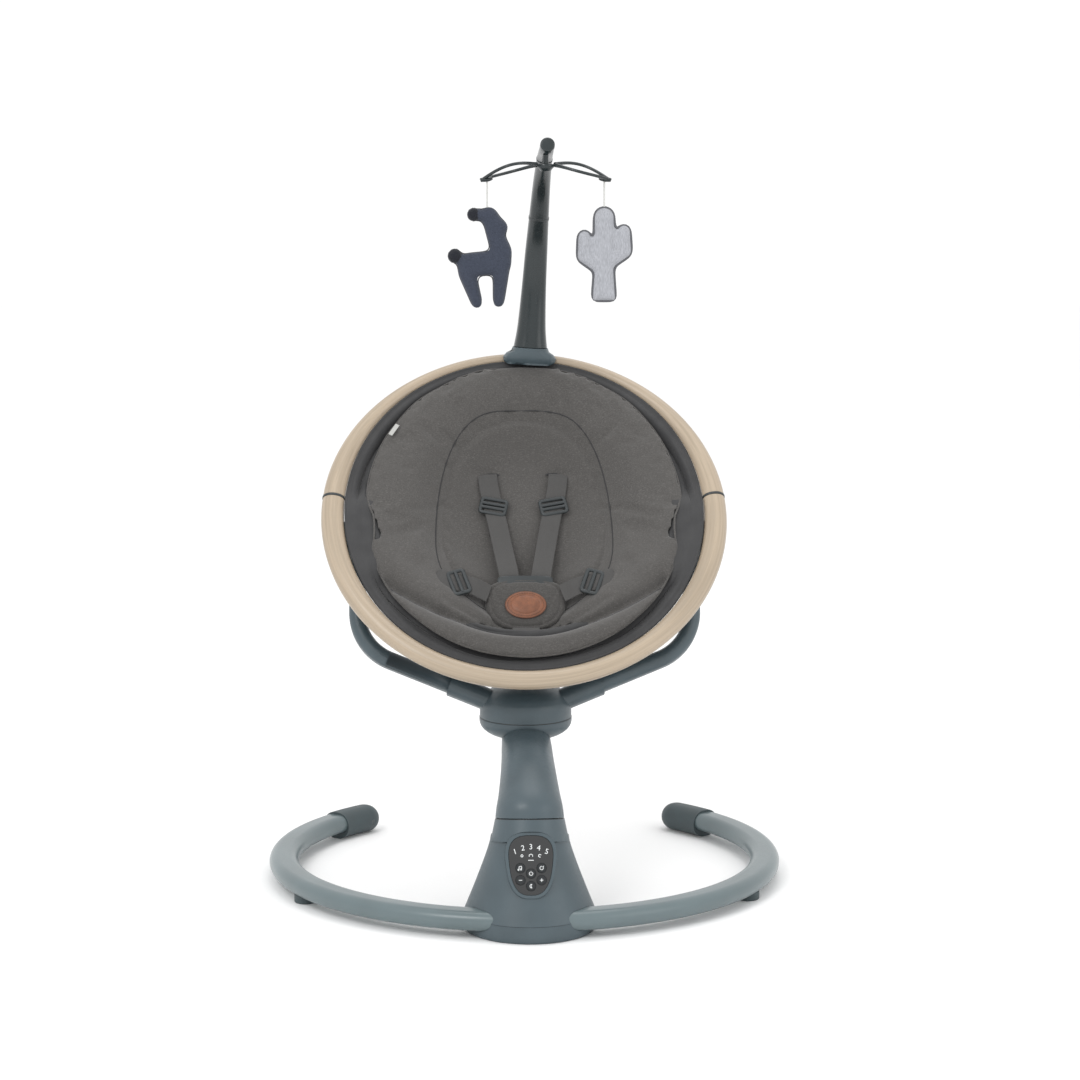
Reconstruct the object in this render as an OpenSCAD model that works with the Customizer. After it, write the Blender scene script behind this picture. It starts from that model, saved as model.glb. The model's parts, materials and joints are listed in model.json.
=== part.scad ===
/* [Base] */
// Centreline radius of the open C-shaped floor tube
base_r = 308; // [290:1:320]
// Distance of the C's centre behind the hub
base_y = 260; // [245:1:270]
// Width of the flat-oval floor tube
tube_w = 37; // [34:1:40]
// Height of the flat-oval floor tube
tube_h = 24; // [22:1:26]
// Angle of each open end, from the back of the C
gap_ang = 42; // [38:1:50]
// Radius of the hub at the floor
hub_r = 79; // [76:1:84]
// Radius of the hub at the swing seam
hub_top_r = 41; // [39:1:43]
// Height of the swing seam on the hub's axis
seam_z = 132; // [128:1:138]
// Backward lean of the swing axis
swing_lean = 11.8; // [8:0.1:14]

/* [Head and fork] */
// Distance of the head behind the hub
head_y = 200; // [195:1:205]
// Radius of the head
head_r = 58; // [55:1:60]
// Height of the head's swivel seam
head_z = 216; // [214:1:220]
// Height at which the fork leaves the head
fork_z = 249; // [247:1:251]
// Sideways distance of each fork upright
fork_x = 211; // [210:0.5:212]
// Front-to-back size of the fork tube
fork_d = 30; // [28:1:32]
// Thickness of the fork tube
fork_t = 21; // [19:1:22]
// Bend radius of the fork tube
fork_bend = 66; // [60:1:70]
// Rise of the fork's lower run
fork_rise = 22.3; // [20:0.1:24]

/* [Seat ring] */
// Outer radius of the wooden ring
ring_r = 257; // [257:1:257]
// Distance of the ring's centre behind the hub
ring_y = 267; // [265:1:269]
// Height of the ring's centre
ring_z = 462; // [460:1:464]
// Slope of the ring above level
ring_slope = 48; // [46:1:50]
// Half thickness of the ring at its head end
ring_thin = 6; // [5:0.5:7]
// Half thickness of the ring at its sides
ring_thick = 14.7; // [14:0.1:15]
// Half thickness of the ring at its foot end
ring_foot_t = 12; // [11:0.5:13]
// Hinge position along the ring's slope
hinge_s = -26; // [-28:1:-24]
// Hinge position below the ring's plane
hinge_n = -27; // [-29:1:-27]

/* [Toy arm] */
// Sideways lean of the toy arm
arm_lean = 3.4; // [0:0.1:5]
// Distance of the mobile behind the hub
mobile_y = 236; // [230:1:240]
// Height of the mobile's disc
mobile_z = 899; // [895:1:903]
// Reach of each wire leaf
leaf_reach = 81; // [76:1:86]
// Free length of each toy string
string_len = 31; // [28:1:34]

/* [Hidden] */
$fn = 64;
slate = "#5a686b";
slate_dark = "#414d50";
wood = "#d2ba9a";
charcoal = "#3a3b3d";
grey_fabric = "#605f5d";
rubber_c = "#2f3537";
steel_c = "#b9bdc0";
hinge_y = ring_y + hinge_s*cos(ring_slope) - hinge_n*sin(ring_slope);
hinge_z = ring_z + hinge_s*sin(ring_slope) + hinge_n*cos(ring_slope);
fork_lean = atan2(hinge_y - head_y, hinge_z - fork_z);
hinge_w = norm([hinge_y - head_y, hinge_z - fork_z]);
run_x = 62;
run_w = -6;
bend_x = fork_x - fork_bend*(1 - sin(fork_rise));
bend_w = run_w + (bend_x - run_x)*tan(fork_rise);
up_w = bend_w + fork_bend*cos(fork_rise);
collar_w = hinge_w - 58;
panel_tilt = 17.5;
panel_y = -54;
panel_z = 89;
buttons = [[-12.4, -3.2], [12.4, -3.2], [0, -9.6], [-12.4, -17.3], [12.4, -17.3], [0, -24.2]];
// toy arm stations: outer y, outer z, inner y, inner z, half width
arm_st = [[450, 664, 404, 664, 22], [447, 692, 408, 692, 18.5], [442, 741, 410, 744, 16], [433, 791, 400, 789, 14.5],
    [411, 837, 375, 831, 12.8], [378, 882, 346, 873, 11.2], [319, 914, 294, 903, 9.8], [258, 927, 240, 914, 9], [229, 931, 225, 918, 8.4]];
// stem stations: y, z, lean of the section from level, half width, half depth
stem_st = [[0, 133, 11.8, 41, 41], [4, 146, 20, 39.5, 39], [22, 155, 46, 37, 33.5], [58, 170, 67, 34, 28.5],
    [102, 181, 76, 32, 25.5], [150, 188, 80, 31, 24], [192, 192, 85, 29, 19], [222, 193, 90, 20, 10]];

function smooth(t) = t <= 0 ? 0 : t >= 1 ? 1 : t*t*(3 - 2*t);
function spow(v, p) = sign(v)*pow(abs(v), p);
function cr(a, b, c, d, t) = 0.5*((2*b) + (c - a)*t + (2*a - 5*b + 4*c - d)*t*t + (3*b - a - 3*c + d)*t*t*t);
function pick(l, i) = l[max(0, min(len(l) - 1, i))];
function along(l, u) = let (i = floor(u), t = u - i) cr(pick(l, i - 1), pick(l, i), pick(l, i + 1), pick(l, i + 2), t);
// half thickness of the ring at an angle from its head end
function ring_a(p) = let (q = abs(p)) q < 95 ? ring_thin + (ring_thick - ring_thin)*smooth(pow(q/95, 1.25))
    : ring_thick + (ring_foot_t - ring_thick)*smooth((q - 95)/60);
function ring_in(p) = ring_r - 2*ring_a(p);
function ring_sec(p, o, n) = let (a = ring_a(p) + o, c = ring_r - ring_a(p)) [for (k = [0:n - 1])
    let (t = 360*k/n, r = c + a*cos(t), z = 0.84*a*sin(t)) [r*sin(p), r*cos(p), z]];

// skin through a list of equal rings of points, closed at both ends
module loft(rs) {
    n = len(rs[0]);
    m = len(rs);
    polyhedron(points = [for (r = rs) each r], faces = concat(
        [[for (i = [0:n - 1]) i]], [[for (i = [0:n - 1]) (m - 1)*n + n - 1 - i]],
        [for (j = [0:m - 2], i = [0:n - 1]) [j*n + i, (j + 1)*n + i, j*n + (i + 1)%n]],
        [for (j = [0:m - 2], i = [0:n - 1]) [(j + 1)*n + i, (j + 1)*n + (i + 1)%n, j*n + (i + 1)%n]]), convexity = 10);
}
module stadium(w, h) {
    r = min(w, h)/2;
    translate([-w/2 + (w > h ? r : 0), -h/2 + (h > w ? r : 0)]) square([w > h ? w - 2*r : w, h > w ? h - 2*r : h]);
    translate([w > h ? w/2 - r : 0, h > w ? h/2 - r : 0]) circle(r);
    translate([w > h ? r - w/2 : 0, h > w ? r - h/2 : 0]) circle(r);
}
module ring_frame() { translate([0, ring_y, ring_z]) rotate([ring_slope, 0, 0]) children(); }
module lean_frame() { translate([0, 0, seam_z]) rotate([-swing_lean, 0, 0]) children(); }
module fork_frame() { translate([0, head_y, fork_z]) rotate([-fork_lean, 0, 0]) children(); }
module panel_frame() { translate([0, panel_y, panel_z]) rotate([90 - panel_tilt, 0, 0]) children(); }
module arm_frame() { translate([0, 0, ring_z]) rotate([0, arm_lean, 0]) translate([0, 0, -ring_z]) children(); }
module side(s) { if (s < 0) mirror([1, 0, 0]) children(); else children(); }

// floor tube, right side; o grows the section
module leg_body(o, a0, a1) {
    translate([0, base_y, tube_h/2 + 9]) rotate_extrude(angle = a1 - a0, start = a0, $fn = 96)
        translate([base_r, 0]) stadium(tube_w + 2*o, tube_h + 2*o);
}
module leg(s) {
    color(slate) side(s) difference() {
        leg_body(0, -84.4, 90 - gap_ang - 5);
        leg_body(-1.8, -85, 90 - gap_ang - 4);
    }
}
module leg_left() leg(-1);
module leg_right() leg(1);
module cap_sec() { translate([0, 18]) stadium(tube_w + 5, 36); }
module cap(s) {
    color(rubber_c) side(s) difference() {
        union() {
            translate([0, base_y, 0]) rotate_extrude(angle = 10, start = 90 - gap_ang - 12, $fn = 96) translate([base_r, 0]) cap_sec();
            translate([base_r*sin(gap_ang + 2), base_y + base_r*cos(gap_ang + 2), 0])
                rotate_extrude(angle = 180, start = 90 - gap_ang - 2) intersection() {
                    cap_sec();
                    square([40, 60]);
                }
        }
        leg_body(0.05, 90 - gap_ang - 15, 90 - gap_ang - 4.9);
    }
}
module cap_left() cap(-1);
module cap_right() cap(1);
module small_feet() {
    color(rubber_c) for (s = [-1, 1]) side(s) translate([base_r*sin(62.8), base_y - base_r*cos(62.8), 0]) difference() {
        union() {
            cylinder(h = 1.5, r1 = 12.5, r2 = 14);
            translate([0, 0, 1.5]) cylinder(h = 9, r = 14);
        }
        translate([-base_r*sin(62.8), base_r*cos(62.8) - base_y, 0]) leg_body(0.05, -40, -10);
    }
}

// hub outer radius at a height
function hub_at(z) = 47.5 + (hub_r - 47.5)*pow(max(0, (106 - z)/(106 - 21)), 1.12);
function hub_prof(o, z0) = concat([[0, z0]], [for (z = [21:8.5:106]) [hub_at(z) + o, max(z, z0)]], [[46.5 + o, 112], [0, 112]]);
module panel_shape(o) {
    polygon([for (t = [0:7.5:359]) let (y = (35 + o)*spow(sin(t), 0.72)) [(25.3 + o + 4.2*y/35)*spow(cos(t), 0.72), y]]);
}
module base_pad() {
    color(rubber_c) cylinder(h = 2, r = 76);
}
module base_plate() {
    color(slate_dark) difference() {
        translate([0, 0, 2]) cylinder(h = 3, r = 75.8);
        for (a = [30:60:330]) rotate(a) translate([66, 0, 1]) cylinder(h = 5, r = 2.2);
    }
}
module hub_skirt() {
    color(slate) difference() {
        union() {
            translate([0, 0, 0.6]) cylinder(h = 3.4, r1 = hub_r - 1.5, r2 = hub_r + 0.5);
            translate([0, 0, 4]) cylinder(h = 16.6, r1 = hub_r + 0.5, r2 = hub_r);
        }
        translate([0, 0, -1]) cylinder(h = 30, r = 76);
        for (s = [-1, 1]) side(s) leg_body(0.3, -88, -60);
    }
}
module hub_shell() {
    color(slate) difference() {
        union() {
            rotate_extrude() polygon(hub_prof(0, 21));
            lean_frame() translate([0, 0, -26]) cylinder(h = 26, r1 = 46.8, r2 = hub_top_r + 0.5);
        }
        rotate_extrude() polygon(hub_prof(-3, 20));
        lean_frame() translate([0, 0, -30]) cylinder(h = 27, r = 37);
        lean_frame() translate([0, 0, -40]) cylinder(h = 60, r = 12);
        panel_frame() translate([0, 0, -34]) linear_extrude(60) panel_shape(4.2);
        for (s = [-1, 1]) side(s) leg_body(0.3, -88, -60);
        translate([0, 60, 40]) rotate([-90, 0, 0]) cylinder(h = 30, r = 8.1);
    }
}
module leg_saddle() {
    color(rubber_c) difference() {
        intersection() {
            translate([-58, -69, 5]) cube([116, 46, 33]);
            translate([0, 0, 4]) cylinder(h = 36, r1 = 74, r2 = 67);
        }
        for (s = [-1, 1]) side(s) leg_body(0.05, -86, -60);
        for (x = [-38, 38], y = [-48, -30]) translate([x, y, 0]) cylinder(h = 60, r = 2.6);
        translate([-12, -80, 4]) cube([24, 60, 40]);
    }
}
module leg_screws() {
    color(steel_c) for (x = [-38, 38], y = [-48, -30]) {
        translate([x, y, 33.2]) cylinder(h = 6.5, r = 2.5);
        translate([x, y, 38.1]) cylinder(h = 2.4, r = 4.5, $fn = 32);
    }
}
module panel_bezel() {
    color(slate) panel_frame() difference() {
        translate([0, 0, -12]) linear_extrude(14) panel_shape(4);
        translate([0, 0, -30]) linear_extrude(40) panel_shape(0.2);
    }
}
module panel_face() {
    color("#101214") panel_frame() difference() {
        translate([0, 0, -2]) linear_extrude(3) panel_shape(0);
        for (b = buttons) translate([b[0], b[1], -5]) cylinder(h = 10, r = 5.7);
    }
}
module button(i) {
    color("#1c1f22") panel_frame() translate([buttons[i][0], buttons[i][1], 0]) {
        translate([0, 0, -3.4]) cylinder(h = 5.2, r = 5.5);
        translate([0, 0, 1.8]) cylinder(h = 0.5, r1 = 5.5, r2 = 5);
    }
}
module button_a() button(0);
module button_b() button(1);
module button_c() button(2);
module button_d() button(3);
module button_e() button(4);
module button_f() button(5);
module circuit_board() {
    color("#1f5a3c") panel_frame() {
        translate([-16, -27, -9]) cube([32, 48, 1.6]);
        for (b = buttons) translate([b[0], b[1], -7.5]) cylinder(h = 3, r = 3, $fn = 32);
    }
}
module power_inlet() {
    color("#1b1d1f") translate([0, 62, 40]) rotate([-90, 0, 0]) difference() {
        union() {
            cylinder(h = 12, r = 8);
            translate([0, 0, -12]) cylinder(h = 14, r = 6.5);
        }
        translate([0, 0, 2]) cylinder(h = 20, r = 2.75);
    }
}
module drive_coil() {
    color("#8c4a2a") {
        lean_frame() translate([0, 34, -100]) difference() {
            cylinder(h = 12, r = 13);
            translate([0, 0, -1]) cylinder(h = 14, r = 4);
        }
        translate([-8, 6, 5]) cube([16, 16, 22]);
    }
}
module bearing_block() {
    color(slate_dark) lean_frame() difference() {
        union() {
            translate([0, 0, -62]) cylinder(h = 50, r = 17);
            translate([0, 0, -16]) cylinder(h = 5, r = 36.8);
        }
        translate([0, 0, -70]) cylinder(h = 90, r = 9.05);
        translate([-40, -70, -20]) cube([80, 43, 14]);
    }
}
module swing_shaft() {
    color(steel_c) lean_frame() {
        translate([0, 0, -80]) cylinder(h = 92, r = 9);
        translate([0, 0, -84]) cylinder(h = 8, r = 15);
        translate([-8, 0, -84]) cube([16, 34, 8]);
        translate([0, 34, -84]) cylinder(h = 8, r = 11);
    }
}
function stem_ring(u, n) = let (y = along([for (s = stem_st) s[0]], u), z = along([for (s = stem_st) s[1]], u),
    a = along([for (s = stem_st) s[2]], u), w = along([for (s = stem_st) s[3]], u), d = along([for (s = stem_st) s[4]], u))
    [for (k = [0:n - 1]) let (t = -360*k/n) [w*cos(t), y + d*sin(t)*cos(a), z - d*sin(t)*sin(a)]];
module stem_shell() {
    color(slate) difference() {
        loft([for (u = [0.04:0.24:6.04]) stem_ring(u, 36)]);
        translate([0, head_y, 150]) cylinder(h = 80, r = 12.2);
    }
}
module head_bowl() {
    color(slate) translate([0, head_y, 0]) difference() {
        rotate_extrude() polygon(concat([[0, head_z - 26], [20, head_z - 26]],
            [for (a = [70:-10:0]) [20 + (head_r - 20)*cos(a), head_z - 4 - 22*sin(a)]], [[head_r, head_z - 0.5], [0, head_z - 0.5]]));
        translate([0, 0, 150]) cylinder(h = 90, r = 12.2);
    }
}
module swivel_spindle() {
    color(steel_c) translate([0, head_y, 0]) {
        translate([0, 0, 180]) cylinder(h = 70, r = 12);
        translate([0, 0, 176]) cylinder(h = 5, r = 12);
    }
}
// stadium bar along the fork's lower run
module fork_run(x0, x1, t, d) {
    translate([x0, 0, run_w + (x0 - run_x)*tan(fork_rise)]) rotate([0, 90 - fork_rise, 0])
        linear_extrude((x1 - x0)/cos(fork_rise)) stadium(t, d);
}
module head_cap() {
    color(slate) difference() {
        union() {
            translate([0, head_y, 0]) rotate_extrude() polygon([[0, head_z], [head_r - 0.5, head_z], [head_r - 0.5, 228], [56, 236],
                [51, 244], [43, 251], [32, 256], [18, 259], [0, 260]]);
            for (s = [-1, 1]) side(s) fork_frame() fork_run(30, 94, fork_t + 6, fork_d + 6);
        }
        translate([0, head_y, 200]) cylinder(h = 51, r = 12.05);
        for (s = [-1, 1]) side(s) fork_frame() {
            fork_run(60, 100, fork_t + 0.1, fork_d + 0.1);
            translate([78, 0, 0]) cylinder(h = 40, r = 6.6);
        }
    }
}
module fork(s) {
    color(slate) side(s) fork_frame() {
        difference() {
            fork_run(60.5, bend_x, fork_t, fork_d);
            translate([78, 0, run_w + 16*tan(fork_rise) + fork_t/2 - 1.6]) cylinder(h = 20, r = 6.6);
        }
        translate([fork_x - fork_bend, 0, up_w]) rotate([90, 0, 0]) rotate_extrude(angle = 90 - fork_rise, start = fork_rise - 90)
            translate([fork_bend, 0]) stadium(fork_t, fork_d);
        translate([fork_x, 0, up_w]) linear_extrude(collar_w + 20 - up_w) stadium(fork_t, fork_d);
    }
}
module fork_left() fork(-1);
module fork_right() fork(1);
module hinge(s) {
    color(slate) side(s) fork_frame() difference() {
        union() {
            translate([fork_x, 0, collar_w]) linear_extrude(4) stadium(fork_t + 9, fork_d + 10);
            translate([fork_x, 0, collar_w + 4]) linear_extrude(hinge_w - collar_w - 14) stadium(fork_t + 6, fork_d + 6);
            translate([fork_x - 13.5, 0, hinge_w]) rotate([0, 90, 0]) cylinder(h = 27, r = 21);
        }
        translate([fork_x, 0, collar_w - 1]) linear_extrude(21.2) stadium(fork_t + 0.1, fork_d + 0.1);
        translate([fork_x - 20, 0, hinge_w]) rotate([0, 90, 0]) cylinder(h = 40, r = 6);
        translate([fork_x + 5, 0, hinge_w]) rotate([0, 90, 0]) cylinder(h = 20, r = 13.4);
    }
}
module hinge_left() hinge(-1);
module hinge_right() hinge(1);
module hinge_pins() {
    color(steel_c) for (s = [-1, 1]) side(s) fork_frame() translate([186.6, 0, hinge_w]) rotate([0, 90, 0]) cylinder(h = 29, r = 5.98);
}
module knob(s) {
    color("#2c3234") side(s) fork_frame() translate([fork_x + 8.6, 0, hinge_w]) rotate([0, 90, 0]) {
        cylinder(h = 7.4, r = 13.2);
        translate([0, 0, 7.4]) cylinder(h = 1.2, r1 = 13.2, r2 = 11.8);
    }
}
module knob_left() knob(-1);
module knob_right() knob(1);
module latch(s) {
    color("#2c3234") side(s) fork_frame() translate([78, 0, run_w + 16*tan(fork_rise)]) {
        translate([0, 0, fork_t/2 + 1.4]) cylinder(h = 7, r = 6.3);
        translate([0, 0, fork_t/2 + 8.4]) cylinder(h = 1, r1 = 6.3, r2 = 5.2);
    }
}
module latch_left() latch(-1);
module latch_right() latch(1);
module lug(s) {
    color(slate) side(s) ring_frame() difference() {
        union() {
            translate([186.5, hinge_s, hinge_n]) rotate([0, 90, 0]) cylinder(h = 10, r = 19);
            translate([186.5, hinge_s - 15, hinge_n + 6]) cube([10, 30, 22]);
            translate([186.5, hinge_s - 15, -4.6]) cube([46, 30, 7]);
        }
        translate([180, hinge_s, hinge_n]) rotate([0, 90, 0]) cylinder(h = 40, r = 6.04);
        rotate_extrude() translate([ring_r - ring_thick, 0]) scale([1, 0.84]) circle(ring_thick + 0.15);
    }
}
module lug_left() lug(-1);
module lug_right() lug(1);
split = 84;
module ring_head() { color(wood) ring_frame() loft([for (p = [-split + 0.4:3.34:split - 0.3]) ring_sec(p, 0, 24)]); }
module ring_foot() { color(wood) ring_frame() loft([for (p = [split + 0.4:3.8:360 - split - 0.3]) ring_sec(p > 180 ? p - 360 : p, 0, 24)]); }
module ring_joints() {
    color("#3c4446") ring_frame() for (s = [-1, 1]) loft([for (p = [-0.34, 0.34]) ring_sec(s*split + p, 0.6, 24)]);
}
function oval(w, d, z, y, n, e = 0.8) = [for (k = [0:n - 1]) let (t = -360*k/n) [w*spow(cos(t), e), y + d*spow(sin(t), e), z]];
module arm_bracket() {
    color(slate) difference() {
        arm_frame() loft([oval(33, 19, 641, 432, 40), oval(35, 22, 644.5, 431, 40), oval(35, 23, 650, 429, 40), oval(31, 23.5, 655, 428, 40),
            oval(25, 23.5, 658.5, 427.5, 40), oval(23, 23.5, 663.5, 427, 40)]);
        ring_frame() rotate_extrude($fn = 96) translate([ring_r - ring_thin, 0]) circle(ring_thin + 0.9);
        ring_frame() translate([-60, ring_r - ring_thin - 40, -6.9]) cube([120, 40, 13.8]);
    }
}
function arm_ring(u, n) = let (oy = along([for (s = arm_st) s[0]], u), oz = along([for (s = arm_st) s[1]], u),
    iy = along([for (s = arm_st) s[2]], u), iz = along([for (s = arm_st) s[3]], u), w = along([for (s = arm_st) s[4]], u))
    [for (k = [0:n - 1]) let (t = -360*k/n, c = spow(sin(t), 0.8)/2) [w*spow(cos(t), 0.8), (oy + iy)/2 + c*(oy - iy), (oz + iz)/2 + c*(oz - iz)]];
module arm_lower() { color(slate_dark) arm_frame() loft([for (u = [0:0.2:4.01]) arm_ring(u, 28)]); }
module arm_upper() { color(slate_dark) arm_frame() loft([for (u = [4.012:0.2212:8]) arm_ring(u, 28)]); }
mobile_x = (mobile_z - ring_z)*sin(arm_lean);
module arm_end() {
    color(slate_dark) arm_frame() {
        translate([0, 226.7, 924.7]) rotate([73, 0, 0]) cylinder(h = 10, r1 = 9.2, r2 = 9);
        translate([0, 226.7, 924.7]) rotate([73, 0, 0]) translate([0, 0, 10]) cylinder(h = 1.5, r1 = 9, r2 = 7.5);
    }
    color(slate_dark) translate([mobile_x, mobile_y, mobile_z + 0.6]) cylinder(h = 15, r = 3.5);
}
// fabric bucket: factor of the rim shape and height, outside then inside
bucket_out = [[0.02, -84], [0.3, -83], [0.5, -79], [0.66, -69], [0.75, -52], [0.79, -32], [0.8, -14], [0.86, -9], [1, -1.6]];
bucket_in = [[1, 1.2], [0.86, -6], [0.787, -11], [0.777, -31], [0.735, -50], [0.65, -66], [0.49, -76], [0.29, -80], [0.02, -81]];
function rim_at(p) = ring_in(p > 180 ? p - 360 : p) - 0.8;
// raised part of the rim over each hinge lug
function over_lug(p) = smooth((18.5 - abs((p > 180 ? 360 - p : p) - 100.5))/5);
function bucket_ring(b, lug_z, n) = [for (k = [0:n - 1]) let (p = 360 - 360*k/n, m = smooth((b[0] - 0.8)/0.2),
    r = b[0]*(m*rim_at(p) + (1 - m)*228), c = 12*(1 - m)*smooth(b[0]/0.5), h = b[0] > 0.782 && b[1] > -20 ? over_lug(p) : 0)
    [r*sin(p), r*cos(p) + c, b[1]*(1 - h) + lug_z*h]];
module bucket() {
    color(charcoal) ring_frame() loft(concat([for (b = bucket_out) bucket_ring(b, 3.4, 56)], [for (b = bucket_in) bucket_ring(b, 6, 56)]));
}
// seat pad: f runs from its middle to its edge, p is the angle from the head end
function pad_x(f, p) = 203*f*spow(sin(p), 0.96);
function pad_s(f, p) = 10.5 + 228.5*f*spow(cos(p), 0.96);
function pad_f(x, s) = norm([x/203, (s - 10.5)/228.5]);
function pad_z(x, s) = let (f = pad_f(x, s), v = max(0, (10.5 - s)/228.5))
    -50 + 60*smooth((f - 0.3)/0.62) - 4*smooth((f - 0.93)/0.07) - 6*(1 - smooth(f/0.8))*v + 5*smooth((f - 0.6)/0.3)*smooth(v)
    - 24*smooth(1.4 - norm([x/70, (s + 138)/46]));
function pad_lift(x, s) = smooth((abs(x) - 166)/8)*smooth((42 - abs(s + 18))/9);
function pad_low(f, p) = let (x = pad_x(f, p), s = pad_s(f, p), r = norm([x, s - 12]), k = pad_lift(x, s),
    z = r < 174 ? max(-77, pad_z(x, s) - 26) : -9.8 + 12*smooth((r - 182)/48)) z*(1 - k) + 5.4*k;
module pad() {
    color(grey_fabric) ring_frame() loft(concat(
        [for (f = [0.05, 0.25, 0.45, 0.6, 0.72, 0.8, 0.87, 0.93, 0.985]) [for (k = [0:47]) [pad_x(f, -7.5*k), pad_s(f, -7.5*k), pad_low(f, -7.5*k)]]],
        [[for (k = [0:47]) let (x = pad_x(1, -7.5*k), s = pad_s(1, -7.5*k)) [x, s, max(pad_z(x, s) - 5, 6*pad_lift(x, s))]]],
        [for (f = [0.985, 0.95, 0.88, 0.8, 0.7, 0.58, 0.45, 0.25, 0.05]) [for (k = [0:47]) let (x = pad_x(f, -7.5*k), s = pad_s(f, -7.5*k)) [x, s, pad_z(x, s)]]]));
}
function inlay_pt(f, p, d) = let (x = 112*f*spow(sin(p), 0.65), s = -23 + (cos(p) > 0 ? 190 : 110)*f*spow(cos(p), 0.9)) [x, s, pad_z(x, s) + d];
module inlay() {
    color("#65635f") ring_frame() loft(concat([for (f = [0.05, 0.3, 0.5, 0.7, 0.85, 0.95, 1]) [for (k = [0:39]) inlay_pt(f, -9*k, f == 1 ? 2 : 0.6)]],
        [for (f = [0.98, 0.93, 0.84, 0.7, 0.5, 0.3, 0.05]) [for (k = [0:39]) inlay_pt(f, -9*k, 3 + 9*sqrt(1 - f*f))]]));
}
// flat webbing that lies over the pad through points of x, slope, clearance
module webbing(pts, w, t) {
    loft([for (i = [0:len(pts) - 1]) let (a = pts[max(0, i - 1)], b = pts[min(len(pts) - 1, i + 1)], d = [b[0] - a[0], b[1] - a[1]]/norm([b[0] - a[0], b[1] - a[1]]),
        c = [pts[i][0], pts[i][1]], e = [-d[1], d[0]]*w/2, z = pad_z(c[0], c[1]) + pts[i][2])
        [[c[0] + e[0], c[1] + e[1], z + t], [c[0] - e[0], c[1] - e[1], z + t], [c[0] - e[0], c[1] - e[1], z], [c[0] + e[0], c[1] + e[1], z]]]);
}
module straps_shoulder() {
    color("#4b4a49") ring_frame() for (s = [-1, 1]) webbing([for (u = [0:0.1:1.001]) [s*(46 - 26*u), 86 - 168*u, 13 + 6*sin(180*u) + 14*u]], 25, 1.8);
}
module straps_waist() {
    color("#4b4a49") ring_frame() {
        for (s = [-1, 1]) webbing([for (u = [0:0.125:1.001]) [s*(108 - 54*u), -96 - 12*u, 9 + 13*smooth(u)]], 25, 1.8);
        webbing([for (u = [0:0.25:1.001]) [0, -150 - 16*u, 14 - 8*u]], 30, 3);
    }
}
module sliders() {
    color("#2c2f31") ring_frame() {
        for (s = [-1, 1]) translate([s*38, 34, pad_z(38, 34) + 22.4]) rotate([0, 0, s*11]) translate([-15.5, -9, 0]) cube([31, 18, 4]);
        for (s = [-1, 1]) translate([s*72, -103, pad_z(72, -103) + 18.5]) rotate([0, s*-14, s*8]) translate([-10, -16, 0]) cube([20, 32, 4]);
    }
}
module buckle() {
    color("#33363a") ring_frame() translate([0, -124, -19]) rotate([6, 0, 0]) difference() {
        union() {
            translate([0, 0, -9]) linear_extrude(15) polygon([for (t = [0:7.5:359]) [(50 + 7*sin(t))*spow(cos(t), 0.7), 36*spow(sin(t), 0.75)]]);
            translate([-36, 26, -6]) cube([72, 14, 9]);
        }
        translate([0, -3, 0]) linear_extrude(20) stadium(51.6, 37.6);
    }
}
module buckle_button() {
    color("#7a4a33") ring_frame() translate([0, -124, -19]) rotate([6, 0, 0]) translate([0, -3, 2.4]) linear_extrude(5.6) stadium(51, 37);
}
function leaf_pt(u) = let (t = u < 0.5 ? 2*u : 2 - 2*u, h = u < 0.5 ? 1 : -1) [9 + (leaf_reach - 12)*t, h*21*sin(180*t), 3 - 18*t*t + h*2.5*sin(180*t)];
module tube(pts, r, n) {
    m = len(pts);
    loft([for (i = [0:m - 1]) let (a = pts[max(0, i - 1)], b = pts[min(m - 1, i + 1)], d = (b - a)/norm(b - a), x0 = cross(d, [0, 0, 1]),
        x = x0/norm(x0), y = cross(x, d)) [for (k = [0:n - 1]) pts[i] + r*cos(-360*k/n)*x + r*sin(-360*k/n)*y]]);
}
module mobile() {
    color(slate_dark) translate([mobile_x, mobile_y, mobile_z]) {
        difference() {
            union() {
                cylinder(h = 4, r = 10.5);
                translate([0, 0, -5]) cylinder(h = 5, r1 = 6.5, r2 = 10.5);
            }
            translate([0, 0, 0.4]) cylinder(h = 6, r = 3.55);
        }
        for (s = [0, 180]) rotate(s) {
            tube([for (u = [0.03:0.047:0.98]) leaf_pt(u)], 1.9, 10);
            translate([leaf_reach - 13, -4.5, -18]) cube([13, 9, 5.5]);
        }
    }
}
hang_x = leaf_reach - 8.5;
hang_z = mobile_z - 18.1;
toy_top = hang_z - string_len;
module string(s) {
    color("#f2f2f0") translate([mobile_x + s*hang_x, mobile_y, toy_top]) {
        cylinder(h = string_len - 1.1, r = 1.2, $fn = 24);
        translate([0, 0, string_len - 1.1]) cylinder(h = 1, r1 = 1.2, r2 = 0.12, $fn = 24);
    }
}
module string_left() string(-1);
module string_right() string(1);
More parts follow.
